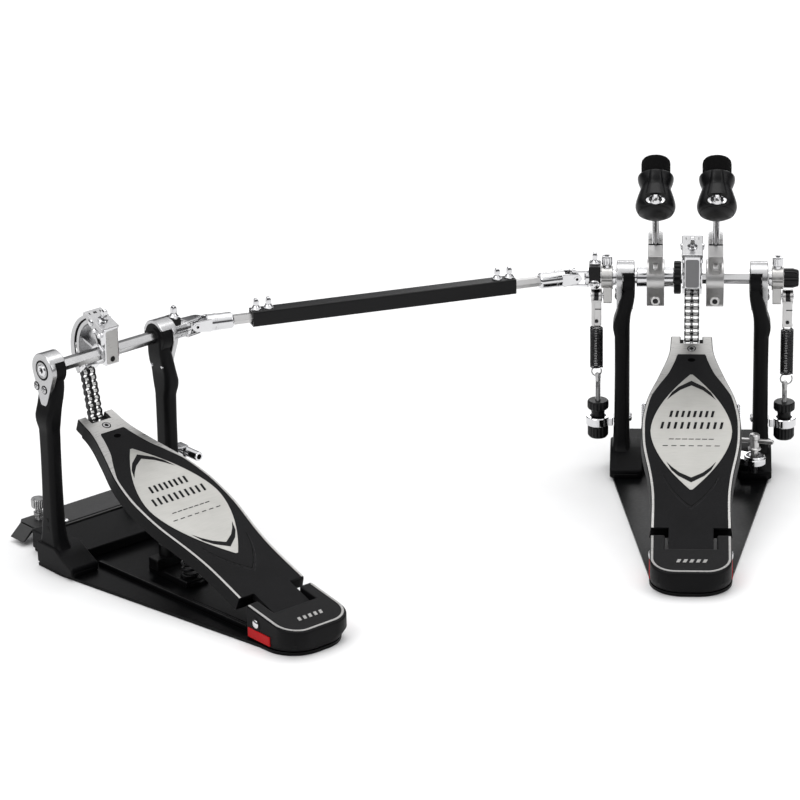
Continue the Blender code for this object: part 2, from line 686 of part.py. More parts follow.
def tool_key(name, pedal):
    """Tuning key held in the clip on the outer side of the right post."""
    body = rod(3.8, (0, -16, 0), (0, 20, 0), 12)
    grip = box(-2.2, 2.2, 14, 20, -9, 9, 0.8)
    holder = empty(name + "_axis", pedal, (84.5, 0, 75))
    node(name, union(body, grip), "steel", holder)


def key_clip():
    """Clip for the tuning key, standing off the right post."""
    back = box(72, 79.6, -6, 6, 69, 81)
    jaws = [box(78, 86, -6, 6, 79.4, 81), box(78, 86, -6, 6, 69, 70.6)]
    return [back, *jaws]


# ---- assembly --------------------------------------------------------------------
def pedal_unit(prefix, pedal, extras=()):
    """Build what both pedals share, and return the empty on the shaft's axis."""
    base_plate(prefix + "_base_plate", pedal)
    frame(prefix + "_frame", pedal, extras)
    for side, sign in (("left", -1), ("right", 1)):
        housing(f"{prefix}_{side}_housing", sign, pedal)
        bearing(f"{prefix}_{side}_bearing", sign, pedal)
    heel_plate(prefix + "_heel_plate", pedal)
    hinge_pin(prefix + "_hinge_pin", pedal)
    hinge = empty(prefix + "_board_axis", pedal, (0, HINGE_Y, HINGE_Z), BOARD_SLOPE, "X")
    footboard(prefix + "_footboard", hinge)
    board_spring(prefix + "_board_spring", pedal)
    rotor = empty(prefix + "_rotor_axis", pedal, (0, 0, SHAFT_HEIGHT))
    cam(prefix + "_cam", rotor)
    chain(prefix + "_chain", rotor)
    return rotor


def main_pedal():
    pedal = empty("main_pedal")
    lip = [box(-26, 26, 44, 63, BASE_THICK + GAP, 7.5)]
    rotor = pedal_unit("main", pedal, lip)
    node("main_shaft", hex_shaft(-48.5, 91.5), "steel", rotor)
    hub("right_hub", "right", rotor)
    hub("left_hub", "left", rotor)
    for side in ("right", "left"):
        beater(side, rotor)
        rocker(side + "_rocker", side, rotor)
        link(side + "_link", side, rotor)
        spring(side + "_spring", side, rotor)
        ring_clamp(side + "_ring_clamp", side, pedal)
        tension_knob(side + "_tension_knob", side, pedal)
        eye_rod(side + "_eye_rod", side, pedal)
    end_cap("end_cap", rotor)
    sleeve("left_sleeve", rotor)
    sleeve_ring("sleeve_ring", rotor)
    block = cut(collar(-98.5, -87.6), x_cylinder(BORE, -110, -80))
    node("left_collar", block, "plastic", rotor)
    hoop_lever("hoop_lever", pedal)
    wing_bolt("wing_bolt", pedal)


def drive_shaft():
    drive = empty("drive", None, (MAIN_JOINT_X, 0, SHAFT_HEIGHT), DRIVE_TURN)
    node("main_socket", moved(drive_socket(-92), Matrix.Rotation(radians(90), 4, "X")),
         "chrome", drive)
    drive_tube("drive_tube", drive)
    cross("main_cross", drive)
    far = empty("drive_far_end", drive, (-DRIVE_LENGTH, 0, 0), 180)
    node("slave_socket", moved(drive_socket(-170), Matrix.Rotation(radians(90), 4, "X")),
         "chrome", far)
    cross("slave_cross", far)


def slave_pedal():
    turn, reach = radians(DRIVE_TURN), DRIVE_LENGTH
    joint = Vector((MAIN_JOINT_X - reach * cos(turn), -reach * sin(turn), 0))
    back = Vector((cos(radians(SLAVE_TURN)), sin(radians(SLAVE_TURN)), 0)) * SLAVE_JOINT_X
    pedal = empty("slave_pedal", None, joint - back, SLAVE_TURN)
    rotor = pedal_unit("slave", pedal, key_clip())
    shaft = union(hex_shaft(-70, 84), moved(fork(27), Matrix.Translation((SLAVE_JOINT_X, 0, 0))),
                  collar(73.2, 84))
    node("slave_shaft", shaft, "chrome", rotor)
    stabilizer("stabilizer_plate", pedal)
    thumb_screw("thumb_screw", pedal)
    tool_key("tool_key", pedal)


def main():
    for old in list(bpy.data.objects):
        bpy.data.objects.remove(old)
    main_pedal()
    drive_shaft()
    slave_pedal()


main()
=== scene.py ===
"""Looks of a twin bass drum pedal: detailed pieces, materials, floor, lights and camera.

Shapes are written in millimetres. Each pedal has its own frame, with +X to its right,
+Y towards the drum, +Z up and the origin on the floor below the middle of its shaft.
"""
from math import cos, pi, radians, sin

import bmesh
import bpy
from mathutils import Matrix, Vector


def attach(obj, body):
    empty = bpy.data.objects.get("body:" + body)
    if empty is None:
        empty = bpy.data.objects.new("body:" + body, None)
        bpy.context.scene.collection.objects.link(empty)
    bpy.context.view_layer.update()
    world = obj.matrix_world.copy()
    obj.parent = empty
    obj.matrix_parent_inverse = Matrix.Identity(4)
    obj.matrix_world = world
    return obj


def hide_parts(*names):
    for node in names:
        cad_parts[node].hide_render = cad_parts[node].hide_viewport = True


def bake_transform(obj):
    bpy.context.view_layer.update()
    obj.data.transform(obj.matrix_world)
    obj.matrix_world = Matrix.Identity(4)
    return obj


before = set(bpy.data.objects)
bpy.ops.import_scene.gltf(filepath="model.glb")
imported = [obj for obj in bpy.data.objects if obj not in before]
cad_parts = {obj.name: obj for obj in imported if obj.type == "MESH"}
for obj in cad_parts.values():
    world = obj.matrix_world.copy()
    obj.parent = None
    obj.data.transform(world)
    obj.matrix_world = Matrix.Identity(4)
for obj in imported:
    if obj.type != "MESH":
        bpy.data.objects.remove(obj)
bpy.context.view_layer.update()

# ---- sizes shared with the frame ----
MM = 0.001                     # metres in a millimetre
SHAFT = 196.0                  # height of both pedals' shafts
HINGE = (0.0, -260.0, 20.0)    # middle of a board's hinge
FOOT = 3.4                     # height at which castings and heel plates stand
SLOPE = 19.2                   # a board's slope at rest, in degrees
LENGTH = 301.8                 # from hinge to toe
TOP, DEEP = 9.3, 13.0          # the deck's height over the hinge, and the board's depth
BOARD_END = 275.0              # where a board ends at the heel, measured from its toe
NOTCH = 11.0                   # depth of the chain's notch in a board's toe
HUB_X = {"right": 21.7, "left": -35.0}   # the beaters' places along the shaft
LEAN = 45.0                    # the beaters' lean at rest, in degrees
REACH = 149.0                  # from the shaft to a beater head
PITCH, CHAIN_R = 6.35, 36.0    # the chain's pitch, and its radius on the cam
DRIVE_TURN, SLAVE_TURN = 21.4, 43.8      # turns about Z of the drive and the second pedal
JOINT = (-113.0, 0.0, SHAFT)   # middle of the first universal joint
DRIVE_LENGTH = 376.0           # between the two universal joints
YOKE_X = 104.0                 # from the second pedal's middle to its universal joint
HEX = 6.1                      # corner radius of the hexagonal shafts
SPRING_Y = -118.0              # place of the springs below the boards
EYE_X, EYE_DROP = 91.5, 18.5   # a rocker's pin, beside and below the shaft
WING = (61.0, -40.0)           # middle of the wing bolt
SIDE = {"left": -1, "right": 1}
ROTOR = {"left": "left_rotor", "right": "main_rotor"}
# Return springs: the coil's top and bottom, and the height of the lower eye.
SPRINGS = {"right": (143.0, 98.0, 87.5), "left": (144.0, 103.5, 95.0)}
# Distance from a board's toe, with the width of the board and half the width of its inlay.
WIDTHS = ((0, 39.4), (26, 43.4), (58, 61.5), (89, 81.8), (118, 92.0), (140, 93.4),
          (164, 90.7), (203, 79.0), (232, 74.2), (284, 74.6))
INLAY = ((27, 12.6), (29, 13.9), (36, 15.4), (56, 22.0), (70, 29.2), (82, 35.0), (90, 38.4),
         (100, 41.2), (112, 43.2))


# ---- placing ----
def shift(x, y, z):
    return Matrix.Translation((x, y, z))


def turn(axis, angle):
    return Matrix.Rotation(radians(angle), 4, axis)


MAIN = Matrix.Identity(4)
SLAVE_JOINT = shift(*JOINT) @ turn("Z", DRIVE_TURN) @ shift(-DRIVE_LENGTH, 0, 0)
SLAVE = (shift(SLAVE_JOINT.translation.x, SLAVE_JOINT.translation.y, 0) @ turn("Z", SLAVE_TURN)
         @ shift(-YOKE_X, 0, 0))
UNITS = {"main": MAIN, "slave": SLAVE}


def sided(s, near, far):
    """Two distances from the middle as places on one side, the lower first."""
    return sorted((s * near, s * far))


def facing(s, x, y, z, angle=90):
    """A place on one side, its Z turned outwards."""
    return shift(s * x, y, z) @ turn("Y", s * angle)


# ---- outlines ----
def arc(centre, radius, start, end, steps):
    angles = [radians(start + (end - start) * i / steps) for i in range(steps + 1)]
    return [(centre[0] + radius * cos(a), centre[1] + radius * sin(a)) for a in angles]


def circle(radius, sides, centre=(0, 0)):
    return arc(centre, radius, 0, 360 - 360 / sides, sides - 1)


def rounded(x0, x1, y0, y1, radius, steps=4):
    out = []
    for cx, cy, start in ((x1 - radius, y0 + radius, -90), (x1 - radius, y1 - radius, 0),
                          (x0 + radius, y1 - radius, 90), (x0 + radius, y0 + radius, 180)):
        out += arc((cx, cy), radius, start, start + 90, steps)
    return out


def mirrored(points):
    """Points on the right, then the same on the left in reverse."""
    return points + [(-x, y) for x, y in reversed(points)]


def smooth_table(table, u):
    """Read a table of (u, value) through a smooth curve."""
    i = 0
    while i < len(table) - 2 and u > table[i + 1][0]:
        i += 1
    (u1, w1), (u2, w2) = table[i], table[i + 1]
    (u0, w0), (u3, w3) = table[max(i - 1, 0)], table[min(i + 2, len(table) - 1)]
    span, t = u2 - u1, (u - u1) / (u2 - u1)
    m1, m2 = (w2 - w0) / (u2 - u0) * span, (w3 - w1) / (u3 - u1) * span
    return (w1 * (2 * t ** 3 - 3 * t ** 2 + 1) + m1 * (t ** 3 - 2 * t ** 2 + t)
            + w2 * (3 * t ** 2 - 2 * t ** 3) + m2 * (t ** 3 - t ** 2))


# ---- solids ----
def loft(rings, closed=False):
    """Join rings of equal length, capped at both ends unless the rings close on themselves."""
    bm = bmesh.new()
    rows = [[bm.verts.new(p) for p in ring] for ring in rings]
    count = len(rows[0])
    for i in range(len(rows) if closed else len(rows) - 1):
        low, high = rows[i], rows[(i + 1) % len(rows)]
        for j in range(count):
            k = (j + 1) % count
            bm.faces.new((low[j], low[k], high[k], high[j]))
    if not closed:
        bm.faces.new(rows[0][::-1])
        bm.faces.new(rows[-1])
    bmesh.ops.recalc_face_normals(bm, faces=bm.faces)
    return bm


def lift(points, axis, level):
    """Put flat points on the plane across an axis."""
    k = "XYZ".index(axis)
    return [(*point[:k], level, *point[k:]) for point in points]


def soften(bm, width, segments=2, angle=32.0):
    """Round the edges that are sharper than an angle."""
    if width <= 0:
        return bm
    edges = [e for e in bm.edges if len(e.link_faces) == 2 and e.calc_face_angle(0) > radians(angle)]
    bmesh.ops.bevel(bm, geom=edges, offset=width, segments=segments, profile=0.6,
                    affect="EDGES", clamp_overlap=True)
    return bm


def prism(outline, axis, low, high, soft=0.0, segments=2):
    return soften(loft([lift(outline, axis, low), lift(outline, axis, high)]), soft, segments)


def block(x0, x1, y0, y1, z0, z1, soft=0.6, segments=2):
    return prism([(x0, y0), (x1, y0), (x1, y1), (x0, y1)], "Z", z0, z1, soft, segments)


def lathe(profile, sides=40, ring=False, teeth=0, depth=0.5):
    """Turn (radius, height) points about Z. Points marked with a third value are fluted."""
    if teeth:
        sides = teeth * 4
    rings = []
    for point in profile:
        r, z = max(point[0], 0.01), point[1]
        row = []
        for i in range(sides):
            cutback = depth if len(point) > 2 and i % 4 in (2, 3) else 0.0
            a = 2 * pi * i / sides
            row.append(((r - cutback) * cos(a), (r - cutback) * sin(a), z))
        rings.append(row)
    return loft(rings, closed=ring)


def washer(inner, outer, low, high, sides):
    return lathe([(inner, low), (outer, low), (outer, high), (inner, high)], sides, ring=True)


def disc(radius, low, high, sides):
    return lathe([(0, low), (radius, low), (radius, high), (0, high)], sides)


def tube(points, radius, sides=10):
    """A round wire along points."""
    points = [Vector(p) for p in points]
    rings, side = [], None
    for i, point in enumerate(points):
        along = (points[min(i + 1, len(points) - 1)] - points[max(i - 1, 0)]).normalized()
        side = along.orthogonal() if side is None else side - along * side.dot(along)
        side.normalize()
        other = along.cross(side)
        rings.append([point + side * x + other * y for x, y in circle(radius, sides)])
    return loft(rings)


def bar(radius, axis, low, high, sides=32, centre=(0, 0), soft=0.0):
    return prism(circle(radius, sides, centre), axis, low, high, soft)


def moved(bm, matrix):
    bm.transform(matrix)
    return bm


def several(parts, matrix):
    return [moved(part, matrix) for part in parts]


def put(name, data):
    obj = bpy.data.objects.new(name, data)
    bpy.context.scene.collection.objects.link(obj)
    return obj


def piece(name, finish, body, parts, at=MAIN, stands_for=(), smooth=33.0, blend=None):
    """One object from several solids, placed in the frame and riding on its body; with blend set it is
    only baked in place.
    """
    whole = bmesh.new()
    for part in parts:
        scrap = bpy.data.meshes.new("scrap")
        part.to_mesh(scrap)
        part.free()
        whole.from_mesh(scrap)
        bpy.data.meshes.remove(scrap)
    whole.transform(at)
    bmesh.ops.scale(whole, vec=(MM, MM, MM), verts=whole.verts)
    mesh = bpy.data.meshes.new(name)
    whole.to_mesh(mesh)
    whole.free()
    mesh.materials.append(LOOKS[finish])
    mesh.shade_smooth()
    mesh.set_sharp_from_angle(angle=radians(smooth))
    obj = put(name, mesh)
    if blend:
        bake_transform(obj)
    else:
        obj.modifiers.new("even", "WEIGHTED_NORMAL").keep_sharp = True
        graph = bpy.context.evaluated_depsgraph_get()
        obj.data = bpy.data.meshes.new_from_object(obj.evaluated_get(graph))
        obj.modifiers.clear()
        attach(obj, body)
    if stands_for:
        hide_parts(*stands_for)


# ---- materials ----
LOOKS = {}


def shade(colour, factor):
    return (*[min(1.0, c * factor) for c in colour], 1.0)


def add(nodes, kind, inputs):
    """A new shader node with some of its inputs set."""
    node = nodes.new("ShaderNode" + kind)
    for name, value in inputs.items():
        node.inputs[name].default_value = value
    return node


def look(name, colour, rough, metal, vary, scale, spread, bump, height=0.0002,
         stretch=(1, 1, 1), grain=(0, 0, 0), cloud=18.0, specular=0.5):
    """A material whose colour, roughness and relief all vary at the surface's own scale."""
    material = bpy.data.materials.new(name)
    material.use_nodes = True
    nodes, links = material.node_tree.nodes, material.node_tree.links
    shader = nodes["Principled BSDF"]
    shader.inputs["Metallic"].default_value = metal
    shader.inputs["Specular IOR Level"].default_value = specular
    place = nodes.new("ShaderNodeTexCoord").outputs["Object"]
    mapping = add(nodes, "Mapping", {"Rotation": [radians(a) for a in grain],
                                     "Scale": [1 / k for k in stretch]})
    mapping.vector_type = "TEXTURE"
    links.new(place, mapping.inputs["Vector"])
    fine = add(nodes, "TexNoise", {"Scale": scale, "Detail": 5.0})
    links.new(mapping.outputs["Vector"], fine.inputs["Vector"])
    broad = add(nodes, "TexNoise", {"Scale": cloud, "Detail": 2.0})
    links.new(place, broad.inputs["Vector"])
    both = add(nodes, "Mix", {"Factor": 0.45})
    links.new(fine.outputs["Fac"], both.inputs["A"])
    links.new(broad.outputs["Fac"], both.inputs["B"])
    low, high = 0.3, 0.7
    ramp = nodes.new("ShaderNodeValToRGB")
    for stop, position, factor in zip(ramp.color_ramp.elements, (low, high), (1 - vary, 1 + vary)):
        stop.position, stop.color = position, shade(colour, factor)
    links.new(both.outputs["Result"], ramp.inputs["Fac"])
    links.new(ramp.outputs["Color"], shader.inputs["Base Color"])
    gloss = add(nodes, "MapRange", {"From Min": low, "From Max": high,
                                    "To Min": max(rough - spread, 0.02), "To Max": rough + spread})
    links.new(fine.outputs["Fac"], gloss.inputs["Value"])
    links.new(gloss.outputs["Result"], shader.inputs["Roughness"])
    relief = add(nodes, "Bump", {"Strength": bump, "Distance": height})
    links.new(fine.outputs["Fac"], relief.inputs["Height"])
    links.new(relief.outputs["Normal"], shader.inputs["Normal"])
    LOOKS[name] = material


# Name, colour, roughness, metal, change of colour, grain, change of roughness, relief.
look("chrome", (0.66, 0.66, 0.67), 0.11, 1.0, 0.04, 160, 0.03, 0.02)
look("hex", (0.62, 0.62, 0.62), 0.17, 1.0, 0.03, 60, 0.02, 0.01)
look("face", (0.20, 0.20, 0.205), 0.42, 0.8, 0.1, 240, 0.08, 0.1)
look("pale", (0.86, 0.86, 0.86), 0.42, 0.0, 0.03, 200, 0.05, 0.02)
look("plated", (0.47, 0.47, 0.475), 0.24, 1.0, 0.05, 160, 0.04, 0.02)
# Black sheets of painted shade in the boards' oval holes and engraved V.
look("black", (0.0006, 0.0006, 0.0006), 0.8, 0.0, 0.4, 500, 0.1, 0.1, specular=0.02)
look("satin", (0.56, 0.555, 0.55), 0.34, 1.0, 0.04, 60, 0.04, 0.01)
look("cast", (0.46, 0.455, 0.445), 0.34, 1.0, 0.1, 420, 0.08, 0.2)
look("steel", (0.42, 0.42, 0.42), 0.30, 1.0, 0.1, 200, 0.08, 0.06)
look("casting", (0.003, 0.003, 0.0034), 0.44, 0.0, 0.35, 900, 0.06, 0.3, 0.0003, specular=0.1)
look("gloss", (0.002, 0.002, 0.0023), 0.34, 0.0, 0.3, 300, 0.04, 0.01, specular=0.1)
look("skirt", (0.0034, 0.0034, 0.0038), 0.48, 0.0, 0.3, 700, 0.06, 0.2, specular=0.1)
look("inlay", (0.0044, 0.0044, 0.005), 0.62, 0.0, 0.5, 1400, 0.08, 0.8, 0.0004, specular=0.1)
look("plastic", (0.003, 0.003, 0.0034), 0.34, 0.0, 0.3, 500, 0.06, 0.08, specular=0.2)
look("rubber", (0.006, 0.006, 0.006), 0.7, 0.0, 0.3, 600, 0.06, 0.3, specular=0.2)
look("felt", (0.003, 0.003, 0.003), 0.95, 0.0, 0.6, 1600, 0.03, 1.0, 0.0009, specular=0.1)
# Also the dark sheets of painted shade in the hubs' gaps and the links' holes.
look("blackened", (0.02, 0.02, 0.021), 0.3, 0.8, 0.35, 400, 0.1, 0.1)
look("roller", (0.62, 0.62, 0.61), 0.18, 1.0, 0.1, 300, 0.06, 0.05)
look("wire", (0.010, 0.010, 0.011), 0.3, 0.3, 0.35, 400, 0.08, 0.1, specular=0.3)
look("grey", (0.07, 0.07, 0.07), 0.4, 0.85, 0.12, 240, 0.08, 0.12)
# Black parts, and dark marks of painted shade in screw slots, holes and gaps.
look("dark", (0.004, 0.004, 0.004), 0.6, 0.0, 0.4, 500, 0.1, 0.1, specular=0.15)
look("red", (0.42, 0.004, 0.006), 0.4, 0.0, 0.2, 400, 0.06, 0.1, specular=0.12)
look("floor", (0.86, 0.86, 0.86), 0.7, 0.0, 0.01, 40, 0.05, 0.02)
for pedal, grain in (("main", (SLOPE, 0, 0)), ("slave", (SLOPE, 0, SLAVE_TURN))):
    look("brushed_" + pedal, (0.42, 0.415, 0.405), 0.34, 1.0, 0.13, 90, 0.1, 0.18,
         stretch=(1, 16, 1), grain=grain)
    look("shield_" + pedal, (0.43, 0.425, 0.405), 0.38, 1.0, 0.11, 110, 0.08, 0.15,
         stretch=(1, 14, 1), grain=grain, cloud=26)


# ---- screws ----
def dome_head(radius):
    """A screw's domed head, standing on z = 0."""
    return lathe([(0, 0), (radius, 0), (radius, 0.3 * radius), (0.82 * radius, 0.5 * radius),
                  (0.45 * radius, 0.62 * radius), (0, 0.66 * radius)], 28)


def slot_shade(radius):
    """The cross recess in a screw head, drawn as a dark cross of painted shade."""
    reach, level = 0.55 * radius, 0.6 * radius
    arms = (reach, 0.13 * radius), (0.13 * radius, reach)
    return [block(-a, a, -b, b, level - 0.3, level + 0.12, 0) for a, b in arms]


def socket_head(radius, height):
    """A cap screw's head with a ring round its socket."""
    return lathe([(0, 0), (radius, 0), (radius, height - 0.4), (radius - 0.4, height),
                  (0.58 * radius, height), (0.5 * radius, height - 0.5), (0, height - 0.5)], 32)


def key_screw(height):
    """A square-headed key screw with its flange, standing on z = 0."""
    flange = lathe([(0, -1.5), (4.9, -1.5), (4.9, 1.2), (4.0, 2.0), (2.9, 4.2), (0, 4.2)], 28)
    neck = disc(2.3, 4, 6, 24)
    head = loft([lift(rounded(-h, h, -h, h, 0.6, 2), "Z", z)
                 for h, z in ((2.5, 5.0), (2.4, height - 2.6), (1.7, height - 0.5), (1.1, height))])
    return [flange, neck, head]


def thread(core, crest, start, pitch, turns):
    """Profile points of a screw thread."""
    return [(r, start + i * pitch) for i in range(turns) for r in (core, crest)]


# ---- base, frame and bearings ----
# A post's sections: height, inner and outer distance from the middle, front and back.
POST = ((FOOT, 46, 78, -39, 15), (8.8, 47, 78, -38.5, 15), (14, 53, 77.3, -28, 14.6),
        (22, 58, 76.2, -17, 14), (34, 59.3, 75, -12, 12.6), (60, 59.5, 74.2, -9.5, 10.5),
        (136, 59.5, 74, -9.5, 10.5), (144, 59.5, 75.4, -11, 12), (151, 59.3, 75.4, -12, 13),
        (161, 58.4, 72.4, -13, 13.2), (170, 56.2, 70.4, -13, 13.2), (179, 54.8, 68.4, -12.8, 12.8),
        (188, 54.6, 66, -12.4, 12.4), (198, 54.6, 66, -12, 12))


def base_plate(pedal):
    outline = [(-77.5, 14), (-77.5, -20), (-38.3, -267)] + arc((-6, -277), 32, 180, 270, 14)
    outline += arc((6, -277), 32, 270, 360, 14) + [(38.3, -267), (77.5, -20), (77.5, 14)]
    parts = [prism(outline, "Z", 0, 3, 0.6, 3)]
    edges = []
    for s in (-1, 1):
        foot = [(s * 41, -30), (s * 36, -30), (s * 24, -236), (s * 29, -236)]
        parts.append(prism(foot, "Z", 2, 7.5, 0.9, 3))
        line = [(s * 40.2, -31), (s * 39.6, -31), (s * 27.8, -235), (s * 28.4, -235)]
        edges.append(prism(line, "Z", 7, 7.6))
    parts.append(prism([(-24, -150), (24, -150), (19, -225), (-19, -225)], "Z", 2.5, 4.0, 0.5))
    piece(pedal + "_base", "gloss", pedal + "_unit", parts, UNITS[pedal], [pedal + "_base_plate"])
    piece(pedal + "_base_trim", "grey", pedal + "_unit", edges, UNITS[pedal])


def post(side):
    low, high, steps = POST[0][0], POST[-1][0], 54
    levels = [low + (high - low) * i / steps for i in range(steps + 1)]
    columns = [tuple((row[0], row[k]) for row in POST) for k in range(1, 5)]
    rings = []
    for z in levels:
        inner, outer, front, back = [smooth_table(column, z) for column in columns]
        corner = min(5.0, (outer - inner) / 2 - 0.6)
        rings.append([(side * x, y, z) for x, y in rounded(inner, outer, front, back, corner, 5)])
    return loft(rings)


def spur(side):
    """Threaded floor spur through the frame's foot."""
    core, crest, pitch = 2.6, 3.3, 1.9
    profile = [(0, 20)]
    for i in range(15):
        profile += [(core, 22 + i * pitch), (crest, 22.9 + i * pitch)]
    profile += [(core, 50.6), (1.2, 52), (0, 52)]
    return moved(lathe(profile, 20), shift(side * 45, 36, 0))


def casting(pedal):
    unit, body = UNITS[pedal], pedal + "_unit"
    parts = [post(-1), post(1), block(-62, 62, -14, 45, FOOT, 13.5, 1.6, 3)]
    for s in (-1, 1):
        parts.append(block(*sided(s, 44, 62), -10, 45, 8, 22, 2.2, 3))
        foot = [(-39, FOOT), (15, FOOT), (15, 25), (-12, 25), (-24, 18), (-39, 11.5)]
        parts.append(prism(foot, "X", *sided(s, 46.5, 78), 2.4, 3))
        parts.append(bar(15.2, "X", *sided(s, 55.4, 65.8), 44, (0, SHAFT), 0.8))
    if pedal == "main":
        parts.append(block(-26, 26, 40, 63, FOOT, 7.5, 0.8))
    piece(pedal + "_casting", "casting", body, parts, unit, [pedal + "_frame"])
    bright = [spur(-1), spur(1)]
    if pedal == "slave":
        bright += [block(73, 79.6, -6, 6, 69, 81, 0.8), block(78, 86, -6, 6, 79.4, 81, 0.5),
                   block(78, 86, -6, 6, 69, 70.6, 0.5)]
    # Painted shade: dark screw slots, dark discs over the posts' holes and a dark ring round the shaft.
    slots = []
    for s in (-1, 1):
        place = facing(s, 59.7, 0, 52, -90)
        bright.append(moved(dome_head(4.2), place))
        slots += several(slot_shade(4.2), place)
        for y, z in ((-8.2, 168), (7.4, 166)):
            bright.append(moved(dome_head(1.9), facing(s, 57.5, y, z, -80)))
        slots += [bar(2.2, "X", *sided(s, 73.4, 74.75), 20, (1, 48)),
                  bar(3.6, "X", *sided(s, 73.4, 74.9), 24, (1, 38.5))]
        slots.append(moved(washer(5.6, 8.6, 0, 0.4, 36), facing(s, 55.2, 0, SHAFT, -90)))
    piece(pedal + "_casting_screws", "chrome", body, bright, unit)
    piece(pedal + "_casting_hole_shade", "dark", body, slots, unit)
    pads = [block(*sided(s, 39, 61), 27, 43, 0.3, 3.3, 0.8) for s in (-1, 1)]
    piece(pedal + "_frame_pads", "rubber", body, pads, unit)


def housing(pedal, side):
    unit, body, s = UNITS[pedal], pedal + "_unit", SIDE[side]
    out = facing(s, 0, 0, SHAFT)
    outline = arc((0, SHAFT), 16, -20, 200, 30) + arc((0.5, SHAFT - 38.5), 2.4, 200, 340, 8)
    arch = arc((0, SHAFT), 16, 10, 146, 30) + arc((0, SHAFT), 12.6, 146, 10, 30)
    parts = [prism(outline, "X", *sided(s, 66.4, 72.2), 1.3, 3),
             prism(arch, "X", *sided(s, 55.2, 71.2), 1.0, 3)]
    lip = [(9.6, 70.5), (11.4, 70.5), (11.4, 72.1), (10.9, 72.3), (10.0, 72.3), (9.6, 72.1)]
    parts.append(moved(lathe(lip, 44, ring=True), out))
    slots = []
    # The screws' slots and the dark rings round their heads are painted shade.
    for y, z in ((9.6, -17.5), (-2.2, -18.5)):
        place = facing(s, 71.9, y, SHAFT + z)
        parts.append(moved(dome_head(3.3), place))
        slots += several(slot_shade(3.3), place)
        slots.append(moved(washer(3.4, 4.2, 0, 0.5, 28), place))
    name = f"{pedal}_{side}_cover"
    piece(name, "plated", body, parts, unit, [f"{pedal}_{side}_housing"])
    races = [moved(washer(6.75, 7.6, 70, 72.5, 40), out)]
    piece(name + "_races", "steel", body, races, unit, [f"{pedal}_{side}_bearing"])
    slots.append(moved(washer(6.75, 9.6, 70, 72.3, 36), out))
    piece(name + "_dark", "dark", body, slots, unit)


# ---- heel plate ----
HEEL_FRONT, HEEL_HIGH, HEEL_RISE = -247.0, 34.6, 10.6 / 64


def heel_top(y):
    """Height of the heel plate's sloping top."""
    return HEEL_HIGH + (y - HEEL_FRONT) * HEEL_RISE


def heel_plate(pedal):
    unit, body = UNITS[pedal], pedal + "_unit"
    notch = mirrored([(37.3, HEEL_FRONT), (23.8, HEEL_FRONT), (23.8, -270)])
    outline = notch + arc((-15.3, -289), 22, 180, 270, 16) + arc((15.3, -289), 22, 270, 360, 16)
    foot = notch + arc((-6.3, -278), 30.6, 180, 270, 16) + arc((6.3, -278), 30.6, 270, 360, 16)
    shell = loft([lift(foot, "Z", FOOT), lift(outline, "Z", 12.0),
                  [(x, y, heel_top(y)) for x, y in outline]])
    parts = [soften(shell, 2.0, 4, 40)]
    for s in (-1, 1):
        parts.append(bar(8, "X", *sided(s, 29, 37), 32, HINGE[1:], 1.0))
        parts.append(block(*sided(s, 29, 37), -268, -252, 6, 20, 0.8))
    piece(pedal + "_heel", "skirt", body, parts, unit, [pedal + "_heel_plate"])
    corner, radius, half = (14.4, -286.4), 21.0, 1.05
    path = [(35.4, -249.5, 0), (35.4, -288, 0)]
    path += [(corner[0] + radius * cos(radians(a)), corner[1] - radius * sin(radians(a)), a)
             for a in range(6, 91, 7)]
    path += [(-x, y, 180 - a) for x, y, a in path[::-1]]
    rings = []
    for x, y, a in path:
        dx, dy = half * cos(radians(a)), -half * sin(radians(a))
        edges = ((-1, -0.5), (-1, 0.3), (1, 0.3), (1, -0.5))
        rings.append([(x + k * dx, y + k * dy, heel_top(y + k * dy) + h) for k, h in edges])
    marks = [loft(rings)]
    slant = ((-1.5, -293), (1.6, -293), (3.2, -288), (0.1, -288))
    for x in (-12, -6, 0, 6, 12):
        marks.append(loft([[(x + k, y, heel_top(y) + h) for k, y in slant] for h in (-0.4, 0.2)]))
    piece(pedal + "_heel_line", "brushed_" + pedal, body, marks, unit)
    pins, inserts, rims = [], [], []
    for s in (-1, 1):
        pins += [bar(4, "X", *sided(s, 28, 37.4), 28, HINGE[1:], 0.8),
                 moved(dome_head(4.4), facing(s, 35.9, *HINGE[1:]))]
        inserts.append(block(*sided(s, 36.4, 38.2), -281, -250, 5.2, 14.2, 0.5))
        rim = lathe([(4.3, -0.4), (6.6, -0.4), (6.4, 0.5), (4.5, 0.5)], 36, ring=True)
        rims.append(moved(rim, facing(s, 37.2, *HINGE[1:])))
    piece(pedal + "_pin", "chrome", body, pins, unit, [pedal + "_hinge_pin"])
    piece(pedal + "_pin_core", "dark", body, [bar(3.9, "X", -28.5, 28.5, 28, HINGE[1:])], unit)
    piece(pedal + "_heel_inserts", "red", body, inserts, unit)
    piece(pedal + "_heel_rims", "dark", body, rims, unit)


# ---- footboard ----
def half_width(u):
    """Half a board's width at a distance from its toe."""
    return smooth_table(WIDTHS, min(u, 284)) / 2


def widened(extra):
    return lambda u: half_width(u) + extra


def inlay_half(u):
    edge = half_width(u) - 2.9
    return edge if u > 112 else min(edge, smooth_table(INLAY, max(u, 27)))


def outline_from(width, first, last, steps, notch=0.0):
    """A board's outline between two distances from its toe, with a notch of some half width."""
    marks = [first + (last - first) * i / steps for i in range(steps + 1)]
    out = mirrored([(width(u), LENGTH - u) for u in marks])
    if notch:
        top, low = LENGTH - first, LENGTH - NOTCH
        out += [(-notch, top), (-notch, low), (notch, low), (notch, top)]
    return out


def almond(half, low, high):
    """A shield with a blunt apex at each end, between two distances along the board."""
    middle, reach, steps = (low + high) / 2, (high - low) / 2, 22
    right = []
    for i in range(steps + 1):
        t = -1 + 2 * i / steps
        right.append((half * (1 - abs(t) ** 1.75) + 1.2, middle + t * reach))
    return mirrored(right)


